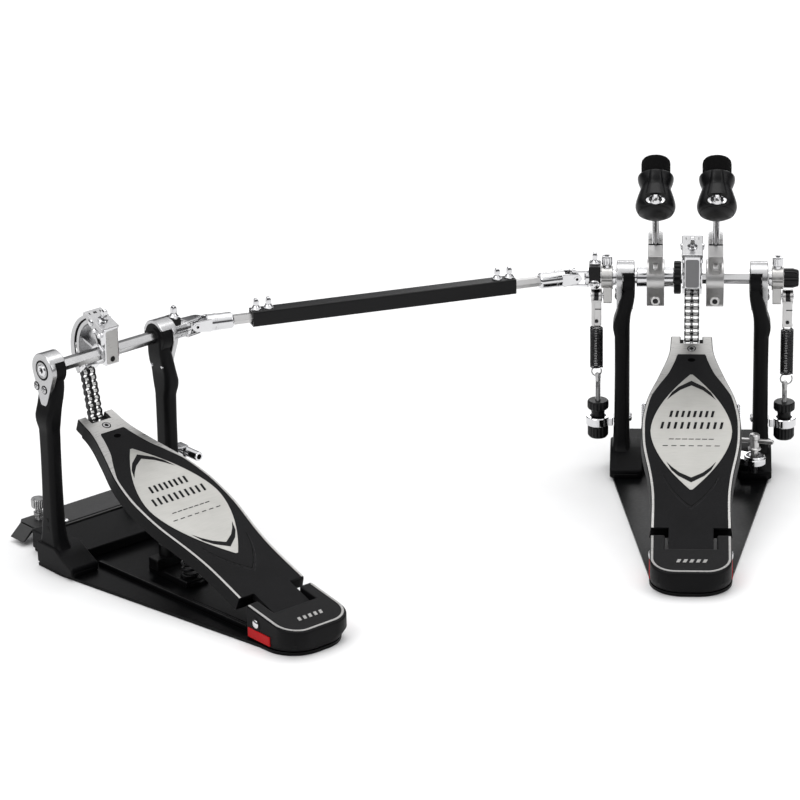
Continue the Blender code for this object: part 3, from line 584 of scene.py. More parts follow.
def chevron(tip, wing, sign):
    """A curved V: its point at tip, its arms ending at wing = (x, y)."""
    outer = [(0.52 * wing[0], tip - sign * 9.0), (0.8 * wing[0], tip - sign * 17.2), wing]
    inner = [(0.76 * wing[0], tip - sign * 21.0), (0.46 * wing[0], tip - sign * 13.6)]
    side = outer + inner
    return [(0, tip)] + side + [(0, tip - sign * 6.8)] + [(-x, y) for x, y in reversed(side)]


def footboard(pedal):
    at = UNITS[pedal] @ shift(*HINGE) @ turn("X", SLOPE)
    body = pedal + "_board"
    low, deck = TOP - DEEP, TOP - 0.8
    wall = ((0.9, low), (0.9, low + 1.5), (0, deck - 1.6), (-3, deck - 1.6), (-2.2, low))
    walls = loft([lift(outline_from(widened(extra), 12, BOARD_END, 70), "Z", z)
                  for extra, z in wall], closed=True)
    parts = [walls, prism(outline_from(half_width, 0, BOARD_END, 80, 10.5), "Z", 4.3, deck, 1.1, 3),
             prism(outline_from(half_width, 0, 30, 12, 10.5), "Z", low, deck, 1.0, 3),
             block(-20.6, 20.6, -5, 32, 2, deck, 0.8), bar(8, "X", -20.6, 20.6, 36, (0, 0), 0.8)]
    piece(pedal + "_board_shell", "skirt", body, parts, at, [pedal + "_footboard"])

    sheet = prism(outline_from(widened(-0.75), 0.7, BOARD_END - 0.5, 90, 11.2), "Z",
                  deck - 0.3, TOP - 0.35, 0.2)
    piece(pedal + "_board_sheet", "brushed_" + pedal, body, [sheet], at)
    inlay = [prism(outline_from(inlay_half, 27.5, BOARD_END, 90), "Z", deck - 0.3, TOP - 0.1, 0.25),
             block(-20.5, 20.5, -4.6, 30, deck - 1, TOP - 0.12, 0.4)]
    piece(pedal + "_board_inlay", "inlay", body, inlay, at)
    shield = prism(almond(37.2, 79.2, 243.7), "Z", TOP - 0.4, TOP + 0.15, 0.15)
    piece(pedal + "_board_shield", "shield_" + pedal, body, [shield], at)

    screw_y = 283
    # The disc under the screw's head shows as a dark ring of painted shade round it.
    dark = [prism(chevron(234.5, (23.2, 206.5), 1), "Z", TOP - 0.2, TOP + 0.28),
            prism(chevron(89.0, (23.2, 117.8), -1), "Z", TOP - 0.2, TOP + 0.28),
            bar(4.3, "Z", TOP - 0.5, TOP - 0.2, 32, (0, screw_y))]
    for y, count, step, tall in ((186, 8, 5.6, 9.0), (169.5, 10, 6.2, 9.6)):
        for i in range(count):
            x = (i - (count - 1) / 2) * step
            slant = [(x - 1.5, y - tall / 2), (x + 1.0, y - tall / 2), (x + 2.6, y + tall / 2),
                     (x + 0.1, y + tall / 2)]
            dark.append(prism(slant, "Z", TOP - 0.1, TOP + 0.3, 0.1))
    for y, reach in ((150, 20), (140.5, 26)):
        for i in range(7):
            x = (i - 3) * reach / 3.2
            dash = [(x - 2.6, y - 0.5), (x + 2.2, y - 0.5), (x + 2.6, y + 0.5), (x - 2.2, y + 0.5)]
            dark.append(prism(dash, "Z", TOP - 0.1, TOP + 0.25))
    piece(pedal + "_board_marks", "inlay", body, dark, at)
    # Painted shade: the oval hole and the middle line of the engraved V are black sheets.
    eye = [(3.6 * cos(a * pi / 12), 265.6 + 2.6 * sin(a * pi / 12)) for a in range(24)]
    eye_and_line_shade, groove = [prism(eye, "Z", TOP - 0.4, TOP + 0.02)], []
    curve = ((25.4, 99.7), (22.8, 91.5), (19.7, 84.5), (15, 75.8), (9.8, 68), (4.6, 61.4), (0, 56.6))
    for drop, width, lines in ((0.0, 1.0, eye_and_line_shade), (1.0, 0.35, groove), (4.2, 0.5, groove)):
        for (xa, ya), (xb, yb) in zip(curve, curve[1:]):
            for s in (-1, 1):
                line = [(s * xa, ya - drop), (s * xb, yb - drop), (s * xb, yb - drop - width),
                        (s * xa, ya - drop - width)]
                lines.append(prism(line, "Z", TOP - 0.2, TOP - 0.03))
    piece(pedal + "_board_eye_shade", "black", body, eye_and_line_shade, at)
    piece(pedal + "_board_groove", "blackened", body, groove, at)
    screw = moved(socket_head(3.6, 1.2), shift(0, screw_y, TOP - 1.2))
    piece(pedal + "_board_screw", "steel", body, [screw], at)
    stops = [block(*sided(s, 7.6, 10.6), LENGTH - NOTCH, LENGTH - 5, low, deck + 0.2, 0.4)
             for s in (-1, 1)]
    piece(pedal + "_board_stops", "dark", body, stops, at)


def coil(radius, wire, low, high, turns):
    per_turn = 20
    steps = int(turns * per_turn)
    return tube([(radius * cos(2 * pi * i / per_turn), radius * sin(2 * pi * i / per_turn),
                  low + (high - low) * i / steps) for i in range(steps + 1)], wire, 8)


def board_spring(pedal):
    unit, body = UNITS[pedal], pedal + "_unit"
    at = unit @ shift(0, SPRING_Y, 0)
    ends = [unit @ Vector((0, SPRING_Y, z)) * MM for z in (9, 70)]
    piece(pedal + "_board_coil", "wire", body, [coil(8.4, 1.25, 9, 71, 11)], at,
          [pedal + "_board_spring"], blend=(body, pedal + "_board", *ends))
    seat = lathe([(0, 3.2), (13, 3.2), (13, 6.6), (12, 7.6), (6.6, 7.6), (6.2, 13), (0, 13.5)], 36)
    slider = [block(-13, 13, -10, 48, 3, 9.5, 1.6, 3), block(-17, 17, 28, 42, 9, 20, 1.6, 3),
              bar(8.0, "Z", 19, 31, 36, (0, 35), 1.0)]
    piece(pedal + "_spring_seat", "plastic", body, [seat] + slider, at)


# ---- the second pedal's stabilizer ----
def stabilizer():
    unit, body = SLAVE, "slave_unit"
    plate = prism([(-52, 47), (78, 47), (78, 85), (-46, 85), (-52, 78)], "Z", 12, 15, 0.6, 3)
    claw = prism([(-64, 4.4), (-61.2, 4.0), (-50.6, 12.2), (-49, 12.4), (-49, 15), (-52, 15)], "Y",
                 58, 78, 0.5, 2)
    parts = [plate, claw, block(-38, 60, 45.4, 50, 12, 15, 0.5)]
    piece("stabilizer", "grey", body, parts, unit, ["stabilizer_plate"])
    place = shift(-20, 52, 15)
    screws = [moved(dome_head(4.6), place), moved(washer(3.2, 5, 0, 0.8, 32), shift(-18, 70, 15))]
    piece("stabilizer_screws", "chrome", body, screws, unit)
    # Painted shade: the screw's cross slot and a dark disc in the washer's hole.
    holes = several(slot_shade(4.6), place) + [bar(3.2, "Z", 14.8, 15.2, 28, (-18, 70))]
    piece("stabilizer_hole_shade", "dark", body, holes, unit)
    knurl = [(0, 27), (6.6, 27.4), (7, 29, 1), (7, 35, 1), (6.2, 36), (0, 36)]
    shank = [(0, 0.2), (2.5, 2)] + thread(3.1, 3.6, 3, 1.2, 20)[:-1] + [(3.1, 27.6), (0, 27.6)]
    parts = [lathe(shank, 20), lathe(knurl, teeth=22, depth=0.6), disc(5.5, 19, 22, 6)]
    piece("levelling_screw", "steel", "thumb_screw", parts, unit @ shift(-33, 74, 0), ["thumb_screw"])
    barrel = lathe([(2.6, -20), (2.6, -24), (4.1, -24), (4.6, -23.2), (4.6, 9), (3.4, 13), (2.4, 18),
                    (0, 18.5), (0, -20)], 32, ring=True)
    grip = prism(rounded(14, 20, -9, 9, 2.4), "X", -2.2, 2.2, 0.8, 3)
    at = unit @ shift(84.5, 0, 75)
    piece("tuning_key", "chrome", "tool_key", [moved(barrel, turn("X", -90)), grip], at,
          ["tool_key"])
    # A dark disc of painted shade at the bottom of the key's socket.
    piece("tuning_key_socket_shade", "dark", "tool_key", [bar(2.55, "Y", -21, -20, 24)], at)


# ---- chain and cam ----
def chain_links(stations):
    """Links of double roller chain; each station is the matrix of a roller's axis."""
    plate = arc((0, 0), 2.75, -25, 205, 8) + [(-1.75, -PITCH / 2)]
    plate += arc((0, -PITCH), 2.75, 155, 385, 8) + [(1.75, -PITCH / 2)]
    black, bright = [], []
    for i, place in enumerate(stations):
        spans = ((6.5, 7.15), (0.05, 0.75)) if i % 2 else ((5.75, 6.4), (0.85, 1.5))
        if i < len(stations) - 1:
            black += several([prism(plate, "X", *sided(s, low, high), 0.15, 1)
                              for low, high in spans for s in (-1, 1)], place)
        black.append(moved(bar(1.0, "X", -7.3, 7.3, 14, soft=0.2), place))
        bright += several([bar(2.15, "X", *sided(s, 1.6, 5.7), 18, soft=0.3) for s in (-1, 1)],
                          place)
    return black, bright


def chain(pedal):
    leave = radians(-11)
    at = (UNITS[pedal] @ shift(0, CHAIN_R * cos(leave), SHAFT + CHAIN_R * sin(leave))
          @ turn("X", -12.5))
    black, bright = chain_links([shift(0, 0, -3.4 - PITCH * i) for i in range(12)])
    piece(pedal + "_chain_plates", "blackened", pedal + "_chain", black, at, [pedal + "_chain"])
    piece(pedal + "_chain_rollers", "roller", pedal + "_chain", bright, at)


def cam(pedal):
    at, body = UNITS[pedal] @ shift(0, 0, SHAFT), pedal + "_rotor"
    top = shift(0, -9, 25.8) @ turn("X", 20)
    web = arc((0, 0), 31, -39, 74, 26) + [(-5, 22), (-8, -9)]
    rim = arc((0, 0), 33, -40, 74, 34) + arc((0, 0), 29.3, 74, -40, 34)
    flange = arc((3, -3.5), 39.5, -40, 66, 36) + arc((1.5, -1.5), 35.0, 66, -40, 30)
    seat = [(-9, 13), (-3, 13), (19, 26), (18, 31.5), (-9, 22)]
    parts = [prism(web, "X", -2.4, 2.4, 0.4), prism(rim, "X", -9.4, 9.4, 0.5),
             prism(seat, "X", -7.6, 7.6, 0.6), bar(9.8, "X", -8.5, 8.5, 40, soft=0.8),
             moved(block(-10, 10, 0, 30, -4.3, 0, 1.0, 3), top)]
    parts += [prism(flange, "X", *sided(s, 7.6, 9.5), 0.45) for s in (-1, 1)]
    for angle in (-38, 14, 66):
        parts.append(moved(block(-6.8, 6.8, 5, 30.5, -1.25, 1.25, 0.5), turn("X", angle)))
    piece(pedal + "_cam_wheel", "plated", body, parts, at, [pedal + "_cam"])
    low, high = {"main": (-8.0, 23.6), "slave": (-10.0, 25.2)}[pedal]
    shoe = arc((0, 0), 40, -43, -36, 4) + arc((0, 0), 27, -36, -43, 4)
    chrome = [block(-7.8, 7.8, -10, -3, low, high, 1.2, 3), prism(shoe, "X", -9.4, 9.4, 0.8)]
    chrome += several(key_screw(12), top @ shift(0, 12.5, 0))
    for s in (-1, 1):
        chrome.append(moved(dome_head(3.4), top @ facing(s, 9.6, 17, -3.4)))
        for y, z in ((-3, 18), (4, 21)):
            nut = lathe([(0, 0), (2.6, 0), (2.6, 1.8), (1.9, 2.6), (0, 2.7)], 6)
            chrome.append(moved(nut, facing(s, 7.6, y, z)))
        chrome.append(moved(washer(7.0, 9.0, 0, 1.4, 6), facing(s, 8.2, 0, 0)))
    piece(pedal + "_cam_clamp", "chrome", body, chrome, at)
    face = prism(rounded(-6.5, 6.5, low + 1.2, high - 2.2, 2.0), "Y", -10.3, -9.7, 0.25)
    piece(pedal + "_cam_face", "face" if pedal == "main" else "brushed_slave", body, [face], at)
    # Painted shade: a dark disc in the second pedal's face hole and a dark cross slot on the top plate.
    hole = [bar(2.6, "Y", -10.5, -9.5, 28, (0, low + 5.5))] if pedal == "slave" else []
    hole += several(slot_shade(2.2), top @ shift(0, 25, -1.3))
    piece(pedal + "_cam_hole_shade", "dark", body, hole, at)
    radius, start, step = 35.8, -6, 10.1
    angles = [start + i * step for i in range(8)]
    black, bright = chain_links([shift(0, radius * cos(radians(a)), radius * sin(radians(a)))
                                 @ turn("X", a + 185) for a in angles])
    piece(pedal + "_wrap_plates", "blackened", body, black, at)
    piece(pedal + "_wrap_rollers", "roller", body, bright, at)


# ---- shafts and universal joints ----
def fork(reach):
    """A yoke centred on its joint, its stem towards -X: the yoke itself, and its pins' ends."""
    ear = [(-13, 6.2), (-14, 4.8), (-14, -4.8), (-13, -6.2)] + arc((0, 0), 5.0, -80, 80, 14)
    radius = 8.0
    stem = [(0, -10), (radius - 1, -10), (radius, -11.2), (radius, -reach), (0, -reach)]
    body = [moved(lathe(stem, 36), turn("Y", 90)), block(-14.5, -10, -5.6, 5.6, -8.1, 8.1, 0.9)]
    for s in (-1, 1):
        body.append(prism(ear, "Z", *sided(s, 5.5, 8.15), 0.7))
        over = shift(0, 0, s * 8.0) @ turn("X", 90 - s * 90)
        body.append(moved(washer(1.4, 3.1, 0, 0.45, 24), over))
    pins = [bar(1.9, "Z", *sided(s, 7.6, 8.3), 20) for s in (-1, 1)]
    return body, pins


def main_shaft():
    at = shift(0, 0, SHAFT)
    piece("hex_shaft", "hex", "main_rotor", [bar(HEX, "X", -48.5, 91.5, 6, soft=0.5)], at,
          ["main_shaft"])
    ribs = [(0, 87.4), (9.3, 87.4, 1), (9.3, 96, 1), (7.9, 101, 1), (6.6, 101.6), (0, 101.6)]
    cap = moved(lathe(ribs, teeth=14, depth=0.9), turn("Y", 90))
    piece("shaft_cap", "plastic", "main_rotor", [cap], at, ["end_cap"])
    piece("shaft_washer", "chrome", "main_rotor", [bar(8.0, "X", 73.0, 75.6, 32, soft=0.5)], at)


def sleeve():
    at, body = shift(0, 0, SHAFT), "left_rotor"
    profile = [(6.4, 17.8), (9.1, 17.8), (9.5, 18.3), (9.5, 52.4), (9.0, 53), (6.2, 53.2), (6.2, 101),
               (5.8, 101.4), (5.8, 17.8)]
    yoke, pins = fork(14)
    joint = shift(JOINT[0], 0, 0) @ turn("Z", 180)
    parts = [moved(lathe(profile, 44, ring=True), turn("Y", -90))] + several(yoke, joint)
    parts.append(bar(8.0, "X", -75.6, -73.0, 32, soft=0.5))
    piece("sleeve", "chrome", body, parts, at, ["left_sleeve"])
    piece("sleeve_pins", "dark", body, several(pins, joint), at)
    ring = lathe([(6.8, -17.6), (14.6, -17.6), (15.8, -16.8, 1), (15.8, -11.4, 1), (14.6, -10.6),
                  (6.8, -10.6)], ring=True, teeth=16, depth=1.3)
    piece("lock_ring", "plastic", body, [moved(ring, turn("Y", 90))], at, ["sleeve_ring"])
    low, high, middle = -98.5, -87.6, shift(-93.05, 0, 0)
    collar = [block(low, high, -10, 10, -1, 13.5, 1.4, 3), bar(9.2, "X", low, high, 32, soft=1.0)]
    piece("main_collar", "plastic", body, collar, at, ["left_collar"])
    place = middle @ shift(0, -7.6, -4.6) @ turn("X", 90)
    bright = several(key_screw(11.5), middle @ shift(0, 0, 13.4))
    bright += several([dome_head(4.9), disc(5.4, -1, 0.5, 32)], place)
    piece("main_collar_screws", "chrome", body, bright, at)
    # The collar screw's dark cross slots are painted shade.
    piece("main_collar_slot_shade", "dark", body, several(slot_shade(4.9), place), at)


def slave_shaft():
    at, body = SLAVE @ shift(0, 0, SHAFT), "slave_rotor"
    yoke, pins = fork(27)
    end = lathe([(0, 0), (5.6, 0), (5.6, 2.6), (4.8, 3.3), (2.9, 3.3), (2.5, 2.4), (0, 2.4)], 32)
    parts = several(yoke, shift(YOKE_X, 0, 0)) + [bar(8.0, "X", 73.0, 90.0, 36, soft=0.5)]
    parts.append(moved(end, shift(-70, 0, 0) @ turn("Y", -90)))
    piece("slave_yoke", "chrome", body, parts, at, ["slave_shaft"])
    piece("slave_hex_shaft", "hex", body, [bar(HEX, "X", -70, 80, 6, soft=0.5)], at)
    parts = several(pins, shift(YOKE_X, 0, 0))
    # A dark hexagon of painted shade in the shaft end's socket.
    parts.append(moved(disc(2.4, 0, 0.2, 6), shift(-72.4, 0, 0) @ turn("Y", -90)))
    piece("slave_yoke_pins", "dark", body, parts, at)
    piece("slave_collar", "plastic", body, [block(74.2, 84, -5, 9.6, 3, 13.5, 1.4, 3)], at)
    piece("slave_collar_screw", "chrome", body, several(key_screw(11.5), shift(79, 0, 13.4)), at)


def drive():
    near = shift(*JOINT) @ turn("Z", DRIVE_TURN)
    far = near @ shift(-DRIVE_LENGTH, 0, 0) @ turn("Z", 180)
    for name, body, at, tip, node in (("main", "drive", near, -92, "main_socket"),
                                      ("slave", "drive_rod", far, -170, "slave_socket")):
        yoke, pins = fork(20)
        barrel = [(0, 15.6), (7.8, 15.6), (7.8, 33.6), (7.3, 35), (6.2, 36), (0, 36)]
        rib = [(7.9, 17.5), (8.15, 17.8), (8.15, 19.4), (7.9, 19.7), (7.2, 19.7), (7.2, 17.5)]
        yoke += several([lathe(barrel, 44), lathe(rib, 44, ring=True)], turn("Y", -90))
        piece(name + "_socket_yoke", "chrome", body, several(yoke, turn("X", 90)), at, [node])
        piece(name + "_drive_bar", "satin", body, [bar(5.0, "X", tip, -30, 6, soft=0.4)], at)
        piece(name + "_socket_pins", "dark", body, several(pins, turn("X", 90)), at)
        cross = [block(-3.8, 3.8, -3.8, 3.8, -3.8, 3.8, 0.9, 3), bar(2.0, "Z", -7.7, 7.7, 20),
                 bar(2.0, "Y", -7.7, 7.7, 20)]
        piece(name + "_cross_block", "steel", name + "_cross", cross, at, [name + "_cross"])
    first, last = -322.0, -61.0
    outer, inner = rounded(-7.5, 7.5, -7.5, 7.5, 1.6), rounded(-5.5, 5.5, -5.5, 5.5, 0.8)
    wall = loft([lift(outer, "X", first), lift(outer, "X", last), lift(inner, "X", last),
                 lift(inner, "X", first)], closed=True)
    piece("tube", "plastic", "drive", [soften(wall, 0.35, 2, 50)], near, ["drive_tube"], smooth=28)
    screws = []
    for x in (first + 5, first + 17, last - 17, last - 5):
        screws += several(key_screw(11), shift(x, 0, 7.4))
    piece("tube_screws", "chrome", "drive", screws, near)


# ---- beaters ----
# A head's radius at distances towards its felt.
HEAD = ((-8.6, 3.0), (-8.2, 8.0), (-6.4, 13.0), (-3.6, 16.6), (0, 18.3), (4, 18.5), (9, 17.4),
        (14, 15.9), (18.6, 14.4), (20.4, 14.1), (22.2, 14.5), (26, 15.9), (29, 16.6), (31.6, 16.7),
        (33.4, 15.8), (34.4, 13.6))


def hub(side):
    at, body, lean = shift(HUB_X[side], 0, SHAFT), ROTOR[side], turn("X", LEAN)
    edge = arc((0, 0), 17.5, -18, 198, 44) + arc((1.5, -20.4), 9.2, 198, 342, 18)
    parts = [prism(edge, "X", -8.4, 8.4, 0.9, 3), moved(block(-4.6, 4.6, -5, 11, 12, 57, 1.4, 3), lean)]
    plate = prism([(-7, 47), (7, 47)] + arc((0, 72), 7, 0, 180, 18), "Y", 9.2, 12.2, 0.9, 3)
    piece(side + "_rod_plate", "pale", body, [moved(plate, lean)], at)
    parts += several(key_screw(11), lean @ shift(0, -5, 50) @ turn("X", 90))
    place = shift(0, -8.2, -20.5) @ turn("X", 90)
    parts.append(moved(socket_head(4.6, 3.0), place))
    parts += [moved(block(*sided(s, 4.2, 6.6), -4, 10.5, 14, 56, 1.0), lean) for s in (-1, 1)]
    piece(side + "_hub_ring", "satin", body, parts, at, [side + "_hub"])
    clamp = [moved(block(-7, 7, -11, 1.3, 55, 69, 1.1, 3), lean),
             moved(block(-7, 7, 2.6, 9.4, 55, 64.5, 0.8, 3), lean)]
    piece(side + "_rod_clamp", "satin", body, clamp, at)
    # Painted shade: dark sheets in the clamp's gap and the ring's slit, and a dark hexagon in the cap
    # screw's socket.
    dark = [moved(block(-6.7, 6.7, 1.2, 2.7, 55.4, 68.4, 0.2), lean),
            moved(disc(2.9, 2.4, 2.75, 6), place), block(-8.45, 8.45, -0.5, 0.9, -28, -15, 0)]
    piece(side + "_hub_gap_shade", "blackened", body, dark, at)


def head_panel():
    """The widening raised channel along the outer side of a beater head."""
    rings, steps, rise, sunk = [], 22, 1.15, 1.5
    for i in range(steps + 1):
        y = 32.4 - 25 * i / steps
        radius = smooth_table(HEAD, y)
        half = 5.6 + 4.0 * (i / steps) ** 1.2
        fan = [(x, (radius ** 2 - x ** 2) ** 0.5) for x in (half * k / 4 for k in range(-4, 5))]
        upper = [(x, y, z * 0.998 + rise * (1 - (x / half) ** 8)) for x, z in fan]
        rings.append(upper + [(x, y, z - sunk) for x, z in reversed(fan)])
    return loft(rings)


def beater(side):
    at = shift(HUB_X[side], 0, SHAFT) @ turn("X", LEAN)
    body = side + "_beater"
    rod = lathe([(0, 32), (3.0, 32), (3.4, 33), (3.4, REACH + 7), (3.0, REACH + 10),
                 (0, REACH + 10)], 36)
    piece(side + "_beater_rod", "chrome", body, [moved(rod, shift(0, 5, 0))], at, [side + "_rod"])
    place = shift(0, 0, REACH)
    forward = place @ turn("X", -90)
    levels = [-8.5 + 42.9 * i / 60 for i in range(61)]
    profile = [(0, -8.6)] + [(smooth_table(HEAD, y), y) for y in levels] + [(0, 34.4)]
    shell = [moved(lathe(profile, 72), forward), moved(head_panel(), place)]
    piece(side + "_beater_head", "plastic", body, shell, at, [side + "_head"], smooth=50)
    oval = Matrix.Diagonal((1.03, 0.56, 1.0, 1.0))
    seat = place @ shift(0, 0.3, 17.3)
    rim = [(8.6, -1), (10.2, -1), (10.2, 1.5), (9.4, 2.0), (8.6, 1.6)]
    seam = [(16.0, -4.6), (16.25, -4.35), (16.0, -4.1), (15.0, -4.1), (15.0, -4.6)]
    # A dark block of painted shadow over the bolt's oval, a dark ring of painted shade round the oval,
    # and a dark seam round the head.
    dark = [moved(lathe(rim, 44, ring=True), seat @ oval),
            moved(block(-8.6, 8.6, 4.2, 8.2, -4, 0.6, 1.0), seat),
            moved(lathe(seam, 72, ring=True), forward)]
    piece(side + "_head_shade_and_seam", "dark", body, dark, at)
    dish = lathe([(0, -2), (8.7, -2), (8.7, 1.2), (7.6, 0.4), (4.4, -0.2), (0, -0.2)], 44)
    chrome = [moved(dish, seat @ oval)] + several(key_screw(8.5), seat @ shift(0, 0, 0.6))
    piece(side + "_head_bolt", "chrome", body, chrome, at)
    face = [(0, 34.6), (13.2, 34.8), (13.5, 35.8), (13.55, 46.2), (13.1, 48.6), (11.8, 50.3),
            (9.3, 51.4), (5, 51.7), (0, 51.7)]
    piece(side + "_felt_pad", "felt", body, [moved(lathe(face, 72), forward)], at,
          [side + "_felt"], smooth=60)


# ---- return springs ----
def rocker(side):
    s, at, body, low = SIDE[side], shift(0, 0, SHAFT), ROTOR[side], (0, -EYE_DROP)
    eye = arc((0, 0), 11.2, -28, 208, 36) + [(-6.4, -9), (6.4, -9)]
    parts = [prism(eye, "X", *sided(s, 76, 87), 0.9, 3),
             prism(rounded(-6, 6, -25.5, -4, 2.6), "X", *sided(s, 76.8, 85.0), 0.9, 3)]
    piece(side + "_rocker_arm", "cast", body, parts, at, [side + "_rocker"])
    knurl = [(0, 9), (4.2, 9), (4.2, 12.6), (5.1, 13.2, 1), (5.1, 20, 1), (4.4, 21.2), (2.2, 21.5),
             (2.2, 20.6), (0, 20.6)]
    chrome = [moved(lathe(knurl, teeth=16, depth=0.45), shift(s * 81.5, 0, 0)),
              bar(2.6, "X", *sided(s, 82, 97.4), 24, low, 0.4),
              bar(4.2, "X", *sided(s, 83.5, 85.4), 28, low, 0.4),
              bar(8.6, "X", *sided(s, 74.8, 76.2), 32, (0, 0), 0.3)]
    piece(side + "_rocker_screw", "chrome", body, chrome, at)
    # The clamp's slit and split line are dark sheets of painted shade.
    slit = [(-1.0, -12), (0.2, -12), (0.2, -4), (-1.0, -4)]
    seam = [prism(slit, "X", *sided(s, 75.9, 76.62)),
            block(*sided(s, 76.5, 86.5), -11.3, -10.9, -0.5, 0.5, 0)]
    piece(side + "_rocker_slit_shade", "dark", body, seam, at)


def link(side):
    at, body = shift(SIDE[side] * EYE_X, 0, SHAFT - EYE_DROP), side + "_link"
    parts = [bar(6.5, "X", -5.2, -2.0, 36, soft=0.8), bar(6.5, "X", 2.0, 5.2, 36, soft=0.8),
             block(-5.2, 5.2, -5.0, 5.0, -6.2, -3.4, 0.9), block(-4.6, 4.6, -2.2, 2.2, -31, -4, 0.9, 3),
             block(-4.9, -1.6, -2.7, 2.7, -31, -6, 0.6)]
    piece(side + "_link_strap", "satin", body, parts, at, [side + "_link"])
    # The disc low down is the hole for the spring's hook, drawn dark as painted shade.
    dark = [bar(6.1, "X", -2.0, 2.0, 36, soft=0.3), block(-1.4, 4.65, -2.35, 2.35, -14.2, -13.2, 0),
            bar(1.9, "Y", -2.5, 2.5, 24, (0, -26))]
    piece(side + "_link_dark", "blackened", body, dark, at)


def wire_eye(radius, middle, up, wire):
    """An almost closed loop of wire; with up = -1 it is upside down."""
    return tube([(radius * cos(radians(a)), 0.005 * (a - 90), middle + up * radius * sin(radians(a)))
                 for a in range(60, 391, 15)], wire, 12)


def spring(side):
    top, bottom, eye = SPRINGS[side]
    x, link_body, body = SIDE[side] * EYE_X, side + "_link", side + "_spring"
    ends = [Vector((x, 0, z)) * MM for z in (top, bottom)]
    wound = coil(5.65, 0.74, bottom, top, (top - bottom) / 1.72)
    at = shift(x, 0, 0)
    piece(side + "_coil", "wire", body, [wound], at, [side + "_spring"], blend=(link_body, body, *ends))
    reach = (151.8 - top) / 2
    piece(side + "_top_hook", "steel", link_body, [wire_eye(reach, top + reach, -1, 0.8)], at)
    reach = (bottom - eye + 0.8) / 2
    piece(side + "_low_loop", "steel", body, [wire_eye(reach, bottom - reach, 1, 0.7)], at)


def tension(side):
    s, eye, body = SIDE[side], SPRINGS[side][2], "main_unit"
    at = shift(s * 90, 0, 0)
    ring = [(7.3, 45.4), (8.0, 44.6), (11.0, 44.6), (11.6, 45.4), (11.6, 52.5), (11.0, 53.3),
            (8.0, 53.3), (7.3, 52.5)]
    parts = [lathe(ring, 44, ring=True), block(*sided(-s, 14.7, 9.6), -7, 7, 45, 52.9, 1.2, 3)]
    piece(side + "_clamp", "chrome", body, parts, at, [side + "_ring_clamp"])
    pitch = 1.1
    rod = [(0, 42.6)] + thread(2.1, 2.5, 43, pitch, int((eye - 47) / pitch))
    rod += [(2.4, eye - 4), (2.7, eye - 3), (2.7, eye + 1.6), (1.8, eye + 2.6), (0, eye + 2.8)]
    piece(side + "_hook_rod", "steel", body, [lathe(rod, 24)], at, [side + "_eye_rod"])
    knob = [(3.2, 69), (3.0, 69.4), (9.2, 69.4), (10.1, 68.6, 1), (10.3, 67.8, 1), (10.3, 62.2, 1),
            (9.4, 61), (7.0, 60), (6.6, 58), (6.6, 44.2), (9.2, 44.2), (10, 43, 1), (10, 34, 1),
            (9, 32.6), (8.4, 31.8), (0, 31.8), (0, 42), (3.2, 42)]
    piece(side + "_knob", "plastic", side + "_tension_knob",
          [lathe(knob, ring=True, teeth=18, depth=0.55)], at, [side + "_tension_knob"])


# ---- hoop clamp ----
def hoop_clamp():
    outline = arc(WING, 9.6, 240, 35, 20) + [(34, -16), (34, 30), (24, 36)]
    outline += [(24, 62), (-24, 62), (-24, 36), (14, 28), (14, -24)]
    boss = [(5.7, 0), (10.2, 0), (11, 0.8), (11, 5.8), (10.2, 6.6), (9.9, 6.6), (9.9, 8.2), (9.3, 9),
            (8.2, 9), (8.2, 6.4), (5.7, 6.4)]
    lever = [prism(outline, "Z", 0, 6.5, 1.6, 4), moved(lathe(boss, 44, ring=True), shift(*WING, 0))]
    piece("clamp_lever", "chrome", "hoop_lever", lever, shift(0, 0, 20.5), ["hoop_lever"])
    piece("clamp_pad", "rubber", "hoop_lever", [block(-22, 22, 44, 60, 20.1, 21.0, 0.3)])
    screw = [(0, 11)] + thread(3.0, 3.5, 11.5, 1.2, 19) + [(0, 34)]
    at = shift(*WING, 0)
    piece("wing_thread", "blackened", "wing_bolt", [lathe(screw, 28)], at)
    stem = [(0, 27), (3.5, 27), (3.5, 35.2), (6.0, 35.2), (6.2, 35.8), (6.2, 37.0), (4.3, 38.2),
            (4.1, 45.5), (5.0, 46.4), (5.0, 49.8), (4.0, 51.2), (0, 51.6)]
    parts = [lathe(stem, 32)]
    for angle in (-14, 172):
        wing = prism(rounded(2, 19, 42.2, 46.2, 1.9, 6), "Y", -1.9, 1.9, 1.2, 3)
        parts.append(moved(wing, turn("Z", angle)))
    piece("wing_screw", "satin", "wing_bolt", parts, at, ["wing_bolt"])


# ---- stage, in metres and watts ----
AZIMUTH, ELEVATION, ROLL = 3.984, 21.54, -1.01
AIM, DISTANCE, FOCAL_LENGTH = (-0.2654, -0.2451, 0.1644), 3.8306, 189.39
MIDDLE = (-0.27, -0.15, 0.12)
# Name, place, width and height, power.
LIGHTS = (("key", (-1.6, -1.9, 2.3), (1.6, 1.6), 22), ("fill", (1.9, -1.2, 1.3), (0.8, 1.4), 7),
          ("top", (-0.2, 0.35, 2.6), (2.2, 1.2), 16), ("back", (0.4, 2.4, 1.2), (1.6, 0.6), 8))
# The sky's grey levels from the ground up, dark below so that polished metal has dark bands.
SKY, SKY_STRENGTH = ((0.34, 0.05), (0.46, 0.54), (1.0, 0.60)), 1.45


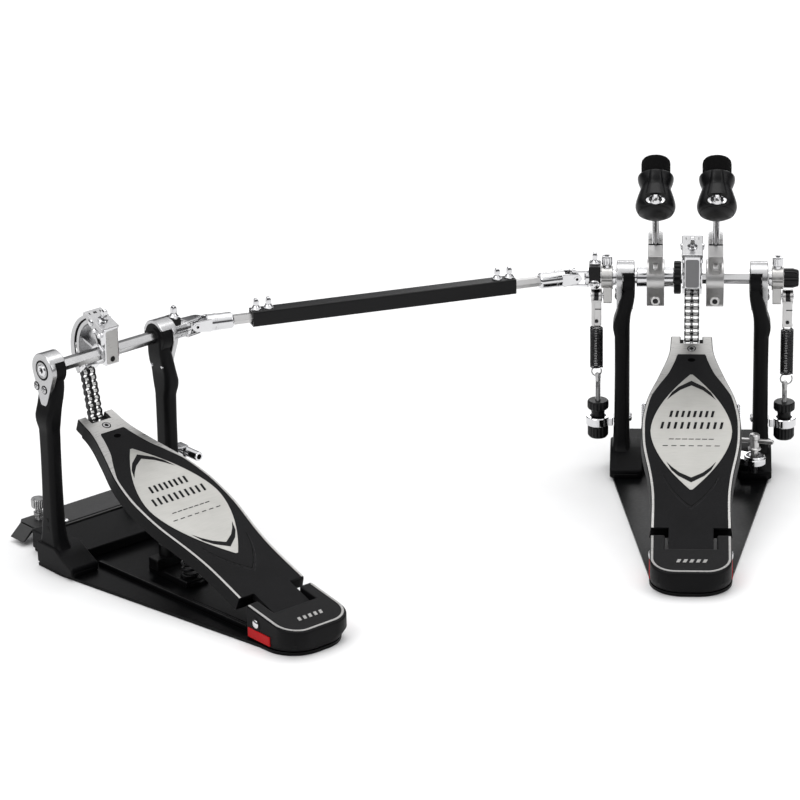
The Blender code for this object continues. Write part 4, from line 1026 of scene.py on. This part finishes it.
def camera():
    """A camera that looks at a point, turned as the photo's was."""
    lens = bpy.data.cameras.new("camera")
    lens.lens, lens.sensor_width, lens.clip_end = FOCAL_LENGTH, 36.0, 60.0
    view = put("camera", lens)
    view.matrix_world = (shift(*AIM) @ turn("Z", AZIMUTH) @ turn("X", 90 - ELEVATION)
                         @ turn("Z", ROLL) @ shift(0, 0, DISTANCE))
    bpy.context.scene.camera = view


def softboxes():
    for name, place, size, power in LIGHTS:
        light = bpy.data.lights.new(name, "AREA")
        light.shape, light.size, light.size_y, light.energy = "RECTANGLE", *size, power
        obj = put(name, light)
        obj.location = place
        obj.rotation_euler = (Vector(MIDDLE) - Vector(place)).to_track_quat("-Z", "Y").to_euler()


def studio():
    bpy.ops.mesh.primitive_plane_add(size=14, location=(0, 0, -0.0004))
    floor = bpy.context.object
    floor.name = "floor"
    floor.data.materials.append(LOOKS["floor"])
    world = bpy.data.worlds.new("studio")
    world.use_nodes = True
    nodes, links = world.node_tree.nodes, world.node_tree.links
    place = nodes.new("ShaderNodeTexCoord")
    split = nodes.new("ShaderNodeSeparateXYZ")
    sky = nodes.new("ShaderNodeValToRGB")
    for position, level in SKY:
        stop = sky.color_ramp.elements.new(position)
        stop.color = (level, level, level * 1.02, 1)
    sky.color_ramp.elements[0].color = (0.10, 0.10, 0.105, 1)
    links.new(place.outputs["Generated"], split.inputs["Vector"])
    links.new(split.outputs["Z"], sky.inputs["Fac"])
    links.new(sky.outputs["Color"], nodes["Background"].inputs["Color"])
    nodes["Background"].inputs["Strength"].default_value = SKY_STRENGTH
    bpy.context.scene.world = world
    bpy.context.scene.view_settings.view_transform = "Standard"


for pedal in ("main", "slave"):
    base_plate(pedal)
    casting(pedal)
    heel_plate(pedal)
    footboard(pedal)
    board_spring(pedal)
    cam(pedal)
    chain(pedal)
    for hand in ("left", "right"):
        housing(pedal, hand)
for hand in ("left", "right"):
    hub(hand)
    beater(hand)
    rocker(hand)
    link(hand)
    spring(hand)
    tension(hand)
stabilizer()
main_shaft()
sleeve()
slave_shaft()
drive()
hoop_clamp()
camera()
softboxes()
studio()
